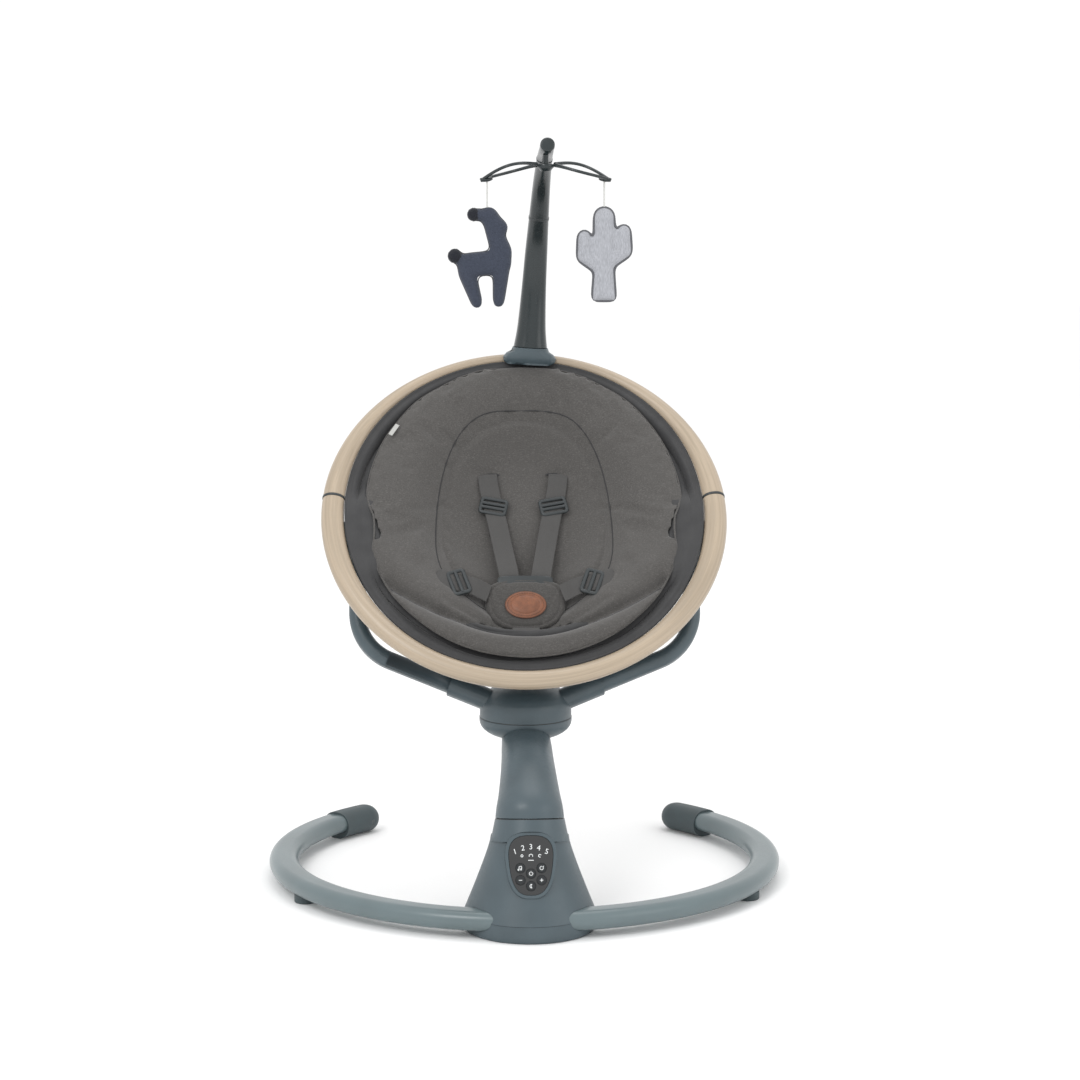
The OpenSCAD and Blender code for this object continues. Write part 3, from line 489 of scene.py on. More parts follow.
def melange_jersey(tree, colour, knit=1.0):
    """Brushed melange jersey: light and dark fibres mix in short dashes, the face is matt, and a fine pile lifts its edges."""
    place = add(tree, "ShaderNodeTexCoord").outputs["Object"]
    # heather dashes 3 mm long and 0.9 mm wide; the real ones are about half as wide
    turned = add(tree, "ShaderNodeMapping", {"Vector": place, "Rotation": (math.radians(48), 0, 0)}, vector_type="TEXTURE").outputs[0]
    dash = add(tree, "ShaderNodeTexNoise", {"Vector": add(tree, "ShaderNodeMapping", {"Vector": turned, "Scale": (330, 1100, 700)}).outputs[0], "Scale": 1.0, "Detail": 3.0, "Roughness": 0.65}).outputs[0]
    dots = add(tree, "ShaderNodeTexNoise", {"Vector": place, "Scale": 1 / (1.3 * MM), "Detail": 2.0}).outputs[0]
    wales = add(tree, "ShaderNodeTexWave", {"Vector": turned, "Scale": 1 / (5.2 * MM), "Distortion": 0.6, "Detail": 1.0}, bands_direction="X").outputs[1]
    slow = add(tree, "ShaderNodeTexNoise", {"Vector": place, "Scale": 1 / (50 * MM), "Detail": 3.0}).outputs[0]
    light = add(tree, "ShaderNodeMapRange", {"Value": dash, 1: 0.52, 2: 0.66, 3: 0.0, 4: 0.75}).outputs[0]
    dark = add(tree, "ShaderNodeMapRange", {"Value": dots, 1: 0.52, 2: 0.34, 3: 0.0, 4: 0.7}).outputs[0]
    base = add(tree, "ShaderNodeMix", {0: light, 6: shade(colour, 0.9), 7: shade(colour, 1.55)}, data_type="RGBA").outputs[2]
    base = add(tree, "ShaderNodeMix", {0: dark, 6: base, 7: shade(colour, 0.62)}, data_type="RGBA").outputs[2]
    tone = add(tree, "ShaderNodeMapRange", {"Value": slow, 1: 0.35, 2: 0.65, 3: 0.0, 4: 0.25}).outputs[0]
    base = add(tree, "ShaderNodeMix", {0: tone, 6: base, 7: shade(colour, 0.86)}, data_type="RGBA").outputs[2]
    gloss = add(tree, "ShaderNodeMapRange", {"Value": dots, 1: 0.3, 2: 0.7, 3: 0.82, 4: 0.95}).outputs[0]
    rows = add(tree, "ShaderNodeBump", {"Strength": 0.25 * knit, "Distance": 0.3 * MM, "Height": wales}).outputs[0]
    bump = add(tree, "ShaderNodeBump", {"Strength": 0.45, "Distance": 0.35 * MM, "Height": dash, "Normal": rows}).outputs[0]
    skin_ = add(tree, "ShaderNodeBsdfPrincipled", {"Base Color": base, "Roughness": gloss, "Normal": bump, "Sheen Weight": 0.25, "Sheen Roughness": 0.5, "Specular IOR Level": 0.2})
    add(tree, "ShaderNodeOutputMaterial", {"Surface": skin_.outputs[0]})


def nylon_taffeta(tree, colour):
    """Woven nylon taffeta: a tight plain weave with a dull filament shine along each fold."""
    place = add(tree, "ShaderNodeTexCoord").outputs["Object"]
    # threads are 0.25 mm apart, drawn at 1 mm so that they show
    turned = add(tree, "ShaderNodeMapping", {"Vector": place, "Rotation": (math.radians(48), 0, 0)}, vector_type="TEXTURE").outputs[0]
    warp = add(tree, "ShaderNodeTexWave", {"Vector": turned, "Scale": 1 / (3.2 * MM), "Distortion": 0.3}, bands_direction="X").outputs[1]
    weft = add(tree, "ShaderNodeTexWave", {"Vector": turned, "Scale": 1 / (3.2 * MM), "Distortion": 0.3}, bands_direction="Y").outputs[1]
    weave = add(tree, "ShaderNodeMath", {0: warp, 1: weft}, operation="MULTIPLY").outputs[0]
    slow = add(tree, "ShaderNodeTexNoise", {"Vector": place, "Scale": 1 / (20 * MM), "Detail": 3.0}).outputs[0]
    base = add(tree, "ShaderNodeMix", {0: weave, 6: shade(colour, 0.8), 7: shade(colour, 1.2)}, data_type="RGBA").outputs[2]
    gloss = add(tree, "ShaderNodeMapRange", {"Value": slow, 1: 0.3, 2: 0.7, 3: 0.55, 4: 0.75}).outputs[0]
    bump = add(tree, "ShaderNodeBump", {"Strength": 0.3, "Distance": 0.15 * MM, "Height": weave}).outputs[0]
    skin_ = add(tree, "ShaderNodeBsdfPrincipled", {"Base Color": base, "Roughness": gloss, "Normal": bump, "Sheen Weight": 0.15, "Specular IOR Level": 0.35})
    add(tree, "ShaderNodeOutputMaterial", {"Surface": skin_.outputs[0]})


def woven_webbing(tree, colour):
    """Polyester webbing: ribs across the strap in a low herringbone, firmer at both edges, with a slight filament shine."""
    place = add(tree, "ShaderNodeAttribute", attribute_name="weave").outputs["Vector"]
    parts = add(tree, "ShaderNodeSeparateXYZ", {0: place}).outputs
    side = add(tree, "ShaderNodeMath", {0: parts[1]}, operation="ABSOLUTE").outputs[0]
    slant = add(tree, "ShaderNodeMath", {0: side, 1: 0.9, 2: parts[0]}, operation="MULTIPLY_ADD").outputs[0]
    # ribs are 1.2 mm apart, drawn at 1.7 mm so that they show
    ribs = add(tree, "ShaderNodeMath", {0: add(tree, "ShaderNodeMath", {0: slant, 1: 2 * math.pi / (1.7 * MM)}, operation="MULTIPLY").outputs[0]}, operation="SINE").outputs[0]
    ribs = add(tree, "ShaderNodeMapRange", {"Value": ribs, 1: -1.0, 2: 1.0}).outputs[0]
    ends = add(tree, "ShaderNodeMath", {0: add(tree, "ShaderNodeMath", {0: parts[1], 1: 2 * math.pi / (1.3 * MM)}, operation="MULTIPLY").outputs[0]}, operation="COSINE").outputs[0]
    high = add(tree, "ShaderNodeMath", {0: ends, 1: 0.25, 2: ribs}, operation="MULTIPLY_ADD").outputs[0]
    fluff = add(tree, "ShaderNodeTexNoise", {"Vector": place, "Scale": 1 / (0.8 * MM), "Detail": 3.0}).outputs[0]
    base = add(tree, "ShaderNodeMix", {0: ribs, 6: shade(colour, 0.72), 7: shade(colour, 1.18)}, data_type="RGBA").outputs[2]
    mixed = add(tree, "ShaderNodeMapRange", {"Value": fluff, 1: 0.4, 2: 0.7, 3: 0.0, 4: 0.4}).outputs[0]
    base = add(tree, "ShaderNodeMix", {0: mixed, 6: base, 7: shade(colour, 1.35)}, data_type="RGBA").outputs[2]
    gloss = add(tree, "ShaderNodeMapRange", {"Value": fluff, 1: 0.3, 2: 0.7, 3: 0.55, 4: 0.72}).outputs[0]
    bump = add(tree, "ShaderNodeBump", {"Strength": 0.5, "Distance": 0.25 * MM, "Height": high}).outputs[0]
    skin_ = add(tree, "ShaderNodeBsdfPrincipled", {"Base Color": base, "Roughness": gloss, "Normal": bump, "Sheen Weight": 0.12, "Specular IOR Level": 0.35})
    add(tree, "ShaderNodeOutputMaterial", {"Surface": skin_.outputs[0]})


def tanned_leather(tree, colour):
    """Aniline tanned leather, rolled: small pebbles, darker valleys and pull-up lighter patches under a dull wax."""
    place = add(tree, "ShaderNodeTexCoord").outputs["Object"]
    pebble = add(tree, "ShaderNodeTexVoronoi", {"Vector": place, "Scale": 1 / (1.2 * MM), "Randomness": 1.0}, feature="SMOOTH_F1").outputs["Distance"]
    pull = add(tree, "ShaderNodeTexNoise", {"Vector": place, "Scale": 1 / (9 * MM), "Detail": 5.0}).outputs[0]
    tone = add(tree, "ShaderNodeMapRange", {"Value": pull, 1: 0.35, 2: 0.68}).outputs[0]
    base = add(tree, "ShaderNodeMix", {0: tone, 6: shade(colour, 0.82), 7: shade(colour, 1.22)}, data_type="RGBA").outputs[2]
    pores = add(tree, "ShaderNodeMapRange", {"Value": pebble, 1: 0.45, 2: 0.8, 3: 0.0, 4: 0.5}).outputs[0]
    base = add(tree, "ShaderNodeMix", {0: pores, 6: base, 7: shade(colour, 0.5)}, data_type="RGBA").outputs[2]
    gloss = add(tree, "ShaderNodeMapRange", {"Value": pull, 1: 0.3, 2: 0.7, 3: 0.42, 4: 0.58}).outputs[0]
    bump = add(tree, "ShaderNodeBump", {"Strength": 0.35, "Distance": 0.2 * MM, "Height": pebble}, invert=True).outputs[0]
    skin_ = add(tree, "ShaderNodeBsdfPrincipled", {"Base Color": base, "Roughness": gloss, "Normal": bump, "Coat Weight": 0.1, "Coat Roughness": 0.4})
    add(tree, "ShaderNodeOutputMaterial", {"Surface": skin_.outputs[0]})


def wool_felt(tree, colour):
    """Milled wool felt: no weave, tangled fibres in two tones, a soft halo of fuzz."""
    place = add(tree, "ShaderNodeTexCoord").outputs["Object"]
    fibre = add(tree, "ShaderNodeTexNoise", {"Vector": place, "Scale": 1 / (1.1 * MM), "Detail": 4.0, "Roughness": 0.75, "Distortion": 1.5}).outputs[0]
    mill = add(tree, "ShaderNodeTexNoise", {"Vector": place, "Scale": 1 / (6 * MM), "Detail": 3.0}).outputs[0]
    tone = add(tree, "ShaderNodeMapRange", {"Value": fibre, 1: 0.36, 2: 0.66}).outputs[0]
    base = add(tree, "ShaderNodeMix", {0: tone, 6: shade(colour, 0.62), 7: shade(colour, 1.5)}, data_type="RGBA").outputs[2]
    worn = add(tree, "ShaderNodeMapRange", {"Value": mill, 1: 0.35, 2: 0.7, 3: 0.0, 4: 0.3}).outputs[0]
    base = add(tree, "ShaderNodeMix", {0: worn, 6: base, 7: shade(colour, 1.25)}, data_type="RGBA").outputs[2]
    gloss = add(tree, "ShaderNodeMapRange", {"Value": fibre, 1: 0.3, 2: 0.7, 3: 0.85, 4: 0.97}).outputs[0]
    bump = add(tree, "ShaderNodeBump", {"Strength": 0.6, "Distance": 0.4 * MM, "Height": fibre}).outputs[0]
    skin_ = add(tree, "ShaderNodeBsdfPrincipled", {"Base Color": base, "Roughness": gloss, "Normal": bump, "Sheen Weight": 0.4, "Sheen Roughness": 0.4, "Specular IOR Level": 0.2})
    add(tree, "ShaderNodeOutputMaterial", {"Surface": skin_.outputs[0]})


def woven_satin(tree, colour):
    """Brushed satin cloth: long floats run down the cloth, so it shines softly across and ripples where it is stuffed."""
    place = add(tree, "ShaderNodeTexCoord").outputs["Object"]
    floats = add(tree, "ShaderNodeTexNoise", {"Vector": add(tree, "ShaderNodeMapping", {"Vector": place, "Scale": (1250, 1250, 190)}).outputs[0], "Scale": 1.0, "Detail": 2.0}).outputs[0]
    crush = add(tree, "ShaderNodeTexNoise", {"Vector": place, "Scale": 1 / (7 * MM), "Detail": 4.0}).outputs[0]
    tone = add(tree, "ShaderNodeMapRange", {"Value": floats, 1: 0.35, 2: 0.68}).outputs[0]
    base = add(tree, "ShaderNodeMix", {0: tone, 6: shade(colour, 0.78), 7: shade(colour, 1.16)}, data_type="RGBA").outputs[2]
    worn = add(tree, "ShaderNodeMapRange", {"Value": crush, 1: 0.4, 2: 0.65, 3: 0.0, 4: 0.28}).outputs[0]
    base = add(tree, "ShaderNodeMix", {0: worn, 6: base, 7: shade(colour, 0.8)}, data_type="RGBA").outputs[2]
    gloss = add(tree, "ShaderNodeMapRange", {"Value": crush, 1: 0.3, 2: 0.7, 3: 0.36, 4: 0.55}).outputs[0]
    fine = add(tree, "ShaderNodeBump", {"Strength": 0.25, "Distance": 0.2 * MM, "Height": floats}).outputs[0]
    bump = add(tree, "ShaderNodeBump", {"Strength": 0.25, "Distance": 0.9 * MM, "Height": crush, "Normal": fine}).outputs[0]
    skin_ = add(tree, "ShaderNodeBsdfPrincipled", {"Base Color": base, "Roughness": gloss, "Normal": bump, "Sheen Weight": 0.2, "Anisotropic": 0.3})
    add(tree, "ShaderNodeOutputMaterial", {"Surface": skin_.outputs[0]})


def spun_thread(tree, colour, rough=0.6):
    """Twisted thread, tape or print: a close even twist that only roughens the surface."""
    place = add(tree, "ShaderNodeTexCoord").outputs["Object"]
    twist = add(tree, "ShaderNodeTexNoise", {"Vector": place, "Scale": 1 / (0.6 * MM), "Detail": 2.0}).outputs[0]
    tone = add(tree, "ShaderNodeMapRange", {"Value": twist, 1: 0.35, 2: 0.65}).outputs[0]
    base = add(tree, "ShaderNodeMix", {0: tone, 6: shade(colour, 0.86), 7: shade(colour, 1.08)}, data_type="RGBA").outputs[2]
    gloss = add(tree, "ShaderNodeMapRange", {"Value": twist, 1: 0.3, 2: 0.7, 3: rough - 0.08, 4: rough + 0.08}).outputs[0]
    bump = add(tree, "ShaderNodeBump", {"Strength": 0.3, "Distance": 0.15 * MM, "Height": twist}).outputs[0]
    skin_ = add(tree, "ShaderNodeBsdfPrincipled", {"Base Color": base, "Roughness": gloss, "Normal": bump, "Specular IOR Level": 0.3})
    add(tree, "ShaderNodeOutputMaterial", {"Surface": skin_.outputs[0]})


def winding_copper(tree, colour):
    """Enamelled copper winding: close turns of wire under clear varnish."""
    place = add(tree, "ShaderNodeTexCoord").outputs["Object"]
    turns = add(tree, "ShaderNodeTexWave", {"Vector": place, "Scale": 1 / (3.4 * MM)}, bands_direction="Z").outputs[1]
    gloss = add(tree, "ShaderNodeMapRange", {"Value": turns, 3: 0.45, 4: 0.25}).outputs[0]
    base = add(tree, "ShaderNodeMix", {0: turns, 6: shade(colour, 0.5), 7: shade(colour, 1.2)}, data_type="RGBA").outputs[2]
    bump = add(tree, "ShaderNodeBump", {"Strength": 0.5, "Distance": 0.3 * MM, "Height": turns}).outputs[0]
    skin_ = add(tree, "ShaderNodeBsdfPrincipled", {"Base Color": base, "Metallic": 0.9, "Roughness": gloss, "Normal": bump})
    add(tree, "ShaderNodeOutputMaterial", {"Surface": skin_.outputs[0]})


def colours():
    made = bpy.context.scene.swing_colours
    return {n: list(getattr(made, n)) + [1.0] for n in SwingColours.__annotations__}


def stock(name):
    """The finish of a kind, by its short name."""
    c = colours()
    kinds = {
        "slate": (moulded_abs, "ABS_satin_slate", c["slate"], 0.4, 0.1), "tube": (painted_tube, "Powder_coated_tube", c["tube"]),
        "gloss": (moulded_abs, "ABS_polished_dark", c["gloss"], 0.24, 0.03), "dark": (moulded_abs, "Acetal_moulded_black", c["dark"], 0.42, 0.1),
        "panel": (polished_polycarbonate, "Polycarbonate_polished_black", linear("#0e1113")), "rubber": (moulded_rubber, "TPE_rubber_moulded", c["rubber"]),
        "button": (moulded_rubber, "Silicone_keys_moulded", linear("#1b1f22")), "steel": (turned_steel, "Steel_turned", linear("#b9bdc0")),
        "wood": (lacquered_beech, "Beech_bent_lacquered", c["wood"]), "pad": (melange_jersey, "Jersey_melange_brushed", c["pad"]),
        "inlay": (melange_jersey, "Jersey_melange_inlay", shade(c["pad"], 0.97)), "cover": (melange_jersey, "Canvas_cover_padded", shade(c["pad"], 0.82), 0.3),
        "liner": (nylon_taffeta, "Taffeta_nylon_woven", c["liner"]), "webbing": (woven_webbing, "Webbing_polyester_woven", c["webbing"]),
        "leather": (tanned_leather, "Leather_tanned_rolled", c["leather"]), "mark": (tanned_leather, "Leather_burnished", shade(c["leather"], 0.55)),
        "llama": (wool_felt, "Felt_wool_milled", c["llama"]), "tail": (wool_felt, "Felt_wool_black", linear("#23252b")),
        "cactus": (woven_satin, "Satin_brushed_silver", c["cactus"]), "binding": (spun_thread, "Tape_woven_grey", linear("#5b5c60")),
        "thread": (spun_thread, "Thread_spun_grey", linear("#46474b")), "ink": (spun_thread, "Print_white", linear("#e9ecec"), 0.4),
        # the dark seam thread is partly painted shade where it is used, at the inlay's welt and harness slots
        "string": (spun_thread, "Cord_cotton_white", linear("#cfcfcc")), "seam": (spun_thread, "Thread_seam_dark", linear("#353536")),
        "label": (spun_thread, "Label_tape_white", linear("#b4b4b1")), "copper": (winding_copper, "Copper_wound", linear("#a4582e")),
        "board": (moulded_abs, "Glass_epoxy_board", linear("#1f5a3c"), 0.35, 0.2),
    }
    maker, title, colour, *rest = kinds[name]
    return finish(maker, title, colour, *rest)


# ---------------------------------------------------------------- stage and strings

def area_light(name, power, size, place, aim, tint_="#ffffff"):
    data = bpy.data.lights.new(name, "AREA")
    data.energy, data.shape, data.size, data.color = power, "DISK", size, linear(tint_)[:3]
    made = bpy.data.objects.new(name, data)
    made.location = place
    made.rotation_euler = (Vector(aim) - Vector(place)).to_track_quat("-Z", "Y").to_euler()
    bpy.context.scene.collection.objects.link(made)


class SWING_OT_stage(bpy.types.Operator):
    """Sets up the camera, the white studio and its floor"""
    bl_idname = "swing.stage"
    bl_label = "Studio"

    def execute(self, context):
        scene = context.scene
        data = bpy.data.cameras.new("Camera")
        data.lens, data.sensor_width, data.shift_x = 93.3, 36.0, 0.0095
        data.clip_end = 60
        eye = bpy.data.objects.new("Camera", data)
        turn = math.radians(1.5)
        eye.location = (-3.252 * math.sin(turn), -3.252 * math.cos(turn), 0.918)
        eye.rotation_euler = (math.radians(82.1), 0, -turn)
        scene.collection.objects.link(eye)
        scene.camera = eye
        world = bpy.data.worlds.new("Studio")
        world.use_nodes = True
        world.node_tree.nodes.clear()
        sky = add(world.node_tree, "ShaderNodeBackground", {"Color": (1, 1, 1, 1), "Strength": 1.05})
        add(world.node_tree, "ShaderNodeOutputWorld", {"Surface": sky.outputs[0]})
        scene.world = world
        scene.view_settings.view_transform = "Standard"
        area_light("Key", 36, 1.6, (-1.7, -2.2, 2.9), (0, 0.2, 0.4))
        area_light("Fill", 9, 2.0, (2.6, -1.6, 1.6), (0, 0.2, 0.4))
        area_light("Top", 13, 1.8, (0.2, 0.9, 3.0), (0, 0.25, 0.5))
        bm = bmesh.new()
        bmesh.ops.create_circle(bm, cap_ends=True, segments=96, radius=14)
        mesh = bpy.data.meshes.new("Floor")
        bm.to_mesh(mesh)
        bm.free()
        paper = bpy.data.materials.new("Studio_paper")
        paper.use_nodes = True
        tree = paper.node_tree
        tree.nodes.clear()
        tooth = add(tree, "ShaderNodeTexNoise", {"Vector": add(tree, "ShaderNodeTexCoord").outputs["Object"], "Scale": 220.0}).outputs[0]
        base = add(tree, "ShaderNodeMix", {0: tooth, 6: linear("#f9f9f9"), 7: linear("#fdfdfd")}, data_type="RGBA").outputs[2]
        skin_ = add(tree, "ShaderNodeBsdfPrincipled", {"Base Color": base, "Roughness": 0.85, "Specular IOR Level": 0.2})
        add(tree, "ShaderNodeOutputMaterial", {"Surface": skin_.outputs[0]})
        mesh.materials.append(paper)
        floor = bpy.data.objects.new("Floor", mesh)
        scene.collection.objects.link(floor)
        floor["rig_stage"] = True
        return {"FINISHED"}


class SWING_OT_strings(bpy.types.Operator):
    """Hangs the two toy strings"""
    bl_idname = "swing.strings"
    bl_label = "Toy strings"

    def execute(self, context):
        wide = context.scene.swing_sizes.string
        for side, sign in (("left", -1), ("right", 1)):
            top = Vector((MOBILE_X + sign * HANG_X, MOBILE_Y, HANG_Z))
            curve = bpy.data.curves.new("String_" + side, "CURVE")
            curve.dimensions, curve.bevel_depth, curve.bevel_resolution, curve.use_fill_caps = "3D", wide / 2, 3, True
            line = curve.splines.new("POLY")
            line.points.add(15)
            for i, p in enumerate(line.points):
                p.co = (*(top - Vector((0, 0, STRING * i / 15))), 1)
            curve.materials.append(stock("string"))
            made = bpy.data.objects.new("String_" + side, curve)
            context.scene.collection.objects.link(made)
            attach(made, "toy_" + side)
            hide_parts("string_" + side)
        return {"FINISHED"}


# ---------------------------------------------------------------- hard parts

class SWING_OT_base(bpy.types.Operator):
    """Finishes the hub, the floor tube, its caps and feet, and the works inside the hub"""
    bl_idname = "swing.base"
    bl_label = "Base"

    def execute(self, context):
        for node in ("hub_shell", "hub_skirt"):
            hard_copy(node, stock("slate"), 0.0008)
        for side in ("left", "right"):
            hard_copy("leg_" + side, stock("tube"), 0)
            hard_copy("cap_" + side, stock("rubber"), 0.0012)
        for node in ("small_feet", "leg_saddle", "base_pad"):
            hard_copy(node, stock("rubber"), 0.0006)
        for node in ("base_plate", "bearing_block", "power_inlet"):
            hard_copy(node, stock("dark"), 0.0004)
        hard_copy("leg_screws", stock("steel"), 0.0003)
        hard_copy("drive_coil", stock("copper"), 0.0004)
        hard_copy("circuit_board", stock("board"), 0)
        # parting line where the swing's foot meets the hub: a thin dark ring of painted shade stands in for the
        # shadowed groove
        bm = bmesh.new()
        lean = Matrix.Translation((0, 0, 0.132)) @ Matrix.Rotation(math.radians(-11.8), 4, "X")
        rope(bm, [lean @ Vector((0.0408 * math.cos(a), 0.0408 * math.sin(a), -0.0002)) for a in (2 * math.pi * k / 72 for k in range(72))], 0.0008, 8, closed=True)
        keep("Hub_parting", bm, "base", stock("dark"), slot="dark_plastic")
        return {"FINISHED"}


def flat_text(words, size, place, body, name):
    """Digits printed on the panel: a flat text turned into a mesh in place."""
    font = bpy.data.curves.new(name, "FONT")
    font.body, font.size, font.align_x, font.align_y, font.extrude = words, size, "CENTER", "CENTER", 0.00008
    drawn = bpy.data.objects.new(name, font)
    bpy.context.scene.collection.objects.link(drawn)
    mesh = bpy.data.meshes.new_from_object(drawn.evaluated_get(bpy.context.evaluated_depsgraph_get()))
    bpy.data.objects.remove(drawn)
    bpy.data.curves.remove(font)
    mesh.transform(place)
    bm = bmesh.new()
    bm.from_mesh(mesh)
    bpy.data.meshes.remove(mesh)
    return keep(name, bm, body, stock("ink"), slot="ribbon")


def print_mark(name, body, place, strokes, wide=0.00045):
    """A small printed sign: raised ink lines along strokes, in panel millimetres."""
    bm = bmesh.new()
    for line in strokes:
        closed = len(line) > 2 and line[0] == line[-1]
        points = [place @ Vector((x * MM, y * MM, 0)) for x, y in (line[:-1] if closed else line)]
        rope(bm, points, wide, 6, closed=closed, flat=0.3, up=place.to_3x3() @ Vector((0, 0, 1)))
    return keep(name, bm, body, stock("ink"), slot="ribbon")


def arc(cx, cy, r, a, b, n=10):
    return [(cx + r * math.cos(math.radians(a + (b - a) * k / n)), cy + r * math.sin(math.radians(a + (b - a) * k / n))) for k in range(n + 1)]


class SWING_OT_panel(bpy.types.Operator):
    """Finishes the control panel: bezel, glossy face, keys and their printed signs"""
    bl_idname = "swing.panel"
    bl_label = "Control panel"

    def execute(self, context):
        hard_copy("panel_bezel", stock("slate"), 0.0005)
        hard_copy("panel_face", stock("panel"), 0.0003)
        top = PANEL @ Matrix.Translation((0, 0, 0.00112))
        for i in range(5):
            x = (i - 2) * 9.3
            spot = top @ Matrix.Translation((x * MM, (21.5 - 0.016 * x * x) * MM, 0)) @ Matrix.Rotation(math.radians(-x * 0.9), 4, "Z")
            flat_text(str(i + 1), 0.0088, spot, "base", "Digit_%d" % (i + 1))
        print_mark("Panel_signs", "base", top, [arc(-10.5, 11.2, 1.3, 0, 360), [(-2, 10.2), (-2, 12.2), (0, 13.2), (2, 12.2), (2, 10.2)], arc(10.5, 11.2, 1.6, 20, 300), [(-3.2, 6), (3.2, 6)]])
        signs = {
            "a": [[(-1.6, -1.8), (-1.6, 1.8)], [(-1.6, 1.8), (1.4, 2.2)], [(1.4, 2.2), (1.4, -1.4)], arc(-2.3, -1.9, 0.8, 0, 360, 8), arc(0.7, -1.5, 0.8, 0, 360, 8)],
            "b": [arc(0, 0, 2, 60, 390, 12), [(1.7, 1.0), (2.5, 2.4)]],
            "c": [arc(0, 0, 2.1, 125, 415, 12), [(0, 0.6), (0, 2.9)]],
            "d": [[(-2, 0), (2, 0)]],
            "e": [[(-2, 0), (2, 0)], [(0, -2), (0, 2)]],
            "f": [arc(0.6, 0, 2.1, 70, 290, 12), arc(1.9, 0, 1.9, 130, 230, 8)],
        }
        for key, (x, y) in BUTTONS.items():
            hard_copy("button_" + key, stock("button"), 0.0003)
            print_mark("Sign_" + key, "button_" + key, PANEL @ Matrix.Translation((x * MM, y * MM, 0.00236)), signs[key], 0.0004)
        return {"FINISHED"}


class SWING_OT_stem(bpy.types.Operator):
    """Builds the smooth swinging stem and finishes the bowl it carries"""
    bl_idname = "swing.stem"
    bl_label = "Stem"

    def execute(self, context):
        bm = bmesh.new()
        places = []
        for k in range(49):
            y, z, lean, w, d = along(STEM_ROWS, 0.04 + k * 0.125)
            a = math.radians(lean)
            places.append(lambda t, y=y, z=z, a=a, w=w, d=d: Vector((w * math.cos(t), y + d * math.sin(t) * math.cos(a), z - d * math.sin(t) * math.sin(a))) * MM)
        skin(bm, places, 64)
        eased(keep("Stem_shell", bm, "stem", stock("slate"), ("stem_shell",), 50), 0.0012)
        hard_copy("head_bowl", stock("slate"), 0.0008)
        for node in ("swing_shaft", "swivel_spindle"):
            hard_copy(node, stock("steel"), 0.0003)
        # parting line round the head: a thin dark ring of painted shade stands in for the shadowed groove
        bm = bmesh.new()
        rope(bm, [Vector((0.0575 * math.cos(a), 0.2 + 0.0575 * math.sin(a), 0.2158)) for a in (2 * math.pi * k / 96 for k in range(96))], 0.0006, 8, closed=True)
        keep("Head_parting", bm, "stem", stock("dark"), slot="dark_plastic")
        return {"FINISHED"}


class SWING_OT_carrier(bpy.types.Operator):
    """Finishes the swivel cap, the fork, its hinges, knobs and catches"""
    bl_idname = "swing.carrier"
    bl_label = "Fork"

    def execute(self, context):
        hard_copy("head_cap", stock("slate"), 0.0008)
        for side in ("left", "right"):
            for node in ("fork_", "hinge_"):
                hard_copy(node + side, stock("slate"), 0.0008)
            for node in ("latch_", "knob_"):
                hard_copy(node + side, stock("dark"), 0.0006)
        hard_copy("hinge_pins", stock("steel"), 0.0003)
        return {"FINISHED"}


def wood_section(angle, grow=0.0):
    p, a = math.radians(angle), ring_half(angle) + grow
    c = RING_R - ring_half(angle)
    return lambda t: seat((c + a * math.cos(t)) * math.sin(p), (c + a * math.cos(t)) * math.cos(p), 0.84 * a * math.sin(t))


class SWING_OT_ring(bpy.types.Operator):
    """Builds the two bent wooden halves of the seat ring, their collars and the hinge lugs"""
    bl_idname = "swing.ring"
    bl_label = "Wooden ring"

    def execute(self, context):
        back = SEAT.inverted()
        for name, node, start, end in (("Ring_head", "ring_head", -SPLIT + 0.4, SPLIT - 0.4), ("Ring_foot", "ring_foot", SPLIT + 0.4, 360 - SPLIT - 0.4)):
            bm = bmesh.new()
            grain = bm.verts.layers.float_vector.new("grain")
            skin(bm, [wood_section(start + (end - start) * k / 120) for k in range(121)], context.scene.swing_sizes.ring_points)
            for v in bm.verts:
                q = back @ v.co
                p = math.atan2(q.x, q.y)
                if node == "ring_foot" and p < 0:
                    p += 2 * math.pi
                v[grain] = (p * RING_R * MM, math.hypot(q.x, q.y) - RING_R * MM, q.z)
            eased(keep(name, bm, "seat", stock("wood"), (node,), 50), 0.0008)
        bm = bmesh.new()
        for s in (-1, 1):
            skin(bm, [wood_section(s * SPLIT + p, g) for p, g in ((-0.42, 0.1), (-0.3, 0.6), (0.3, 0.6), (0.42, 0.1))], 32)
        keep("Ring_collars", bm, "seat", stock("dark"), ("ring_joints",), 50)
        for side in ("left", "right"):
            hard_copy("lug_" + side, stock("slate"), 0.0008)
        return {"FINISHED"}


def arm_section(u, grow=0.0):
    oy, oz, iy, iz, w = along(ARM_ROWS, u)
    return lambda t: ARM @ (Vector(((w + grow) * spow(math.cos(t), 0.8), (oy + iy) / 2 + spow(math.sin(t), 0.8) * ((oy - iy) / 2 + grow * (1 if oy > iy else -1)),
                                    (oz + iz) / 2 + spow(math.sin(t), 0.8) * ((oz - iz) / 2 + (grow if oz > iz else 0)))) * MM)


def oval_section(w, d, z, y, grow=0.0):
    return lambda t: ARM @ (Vector((w * spow(math.cos(t), 0.8), y + d * spow(math.sin(t), 0.8), z)) * MM)


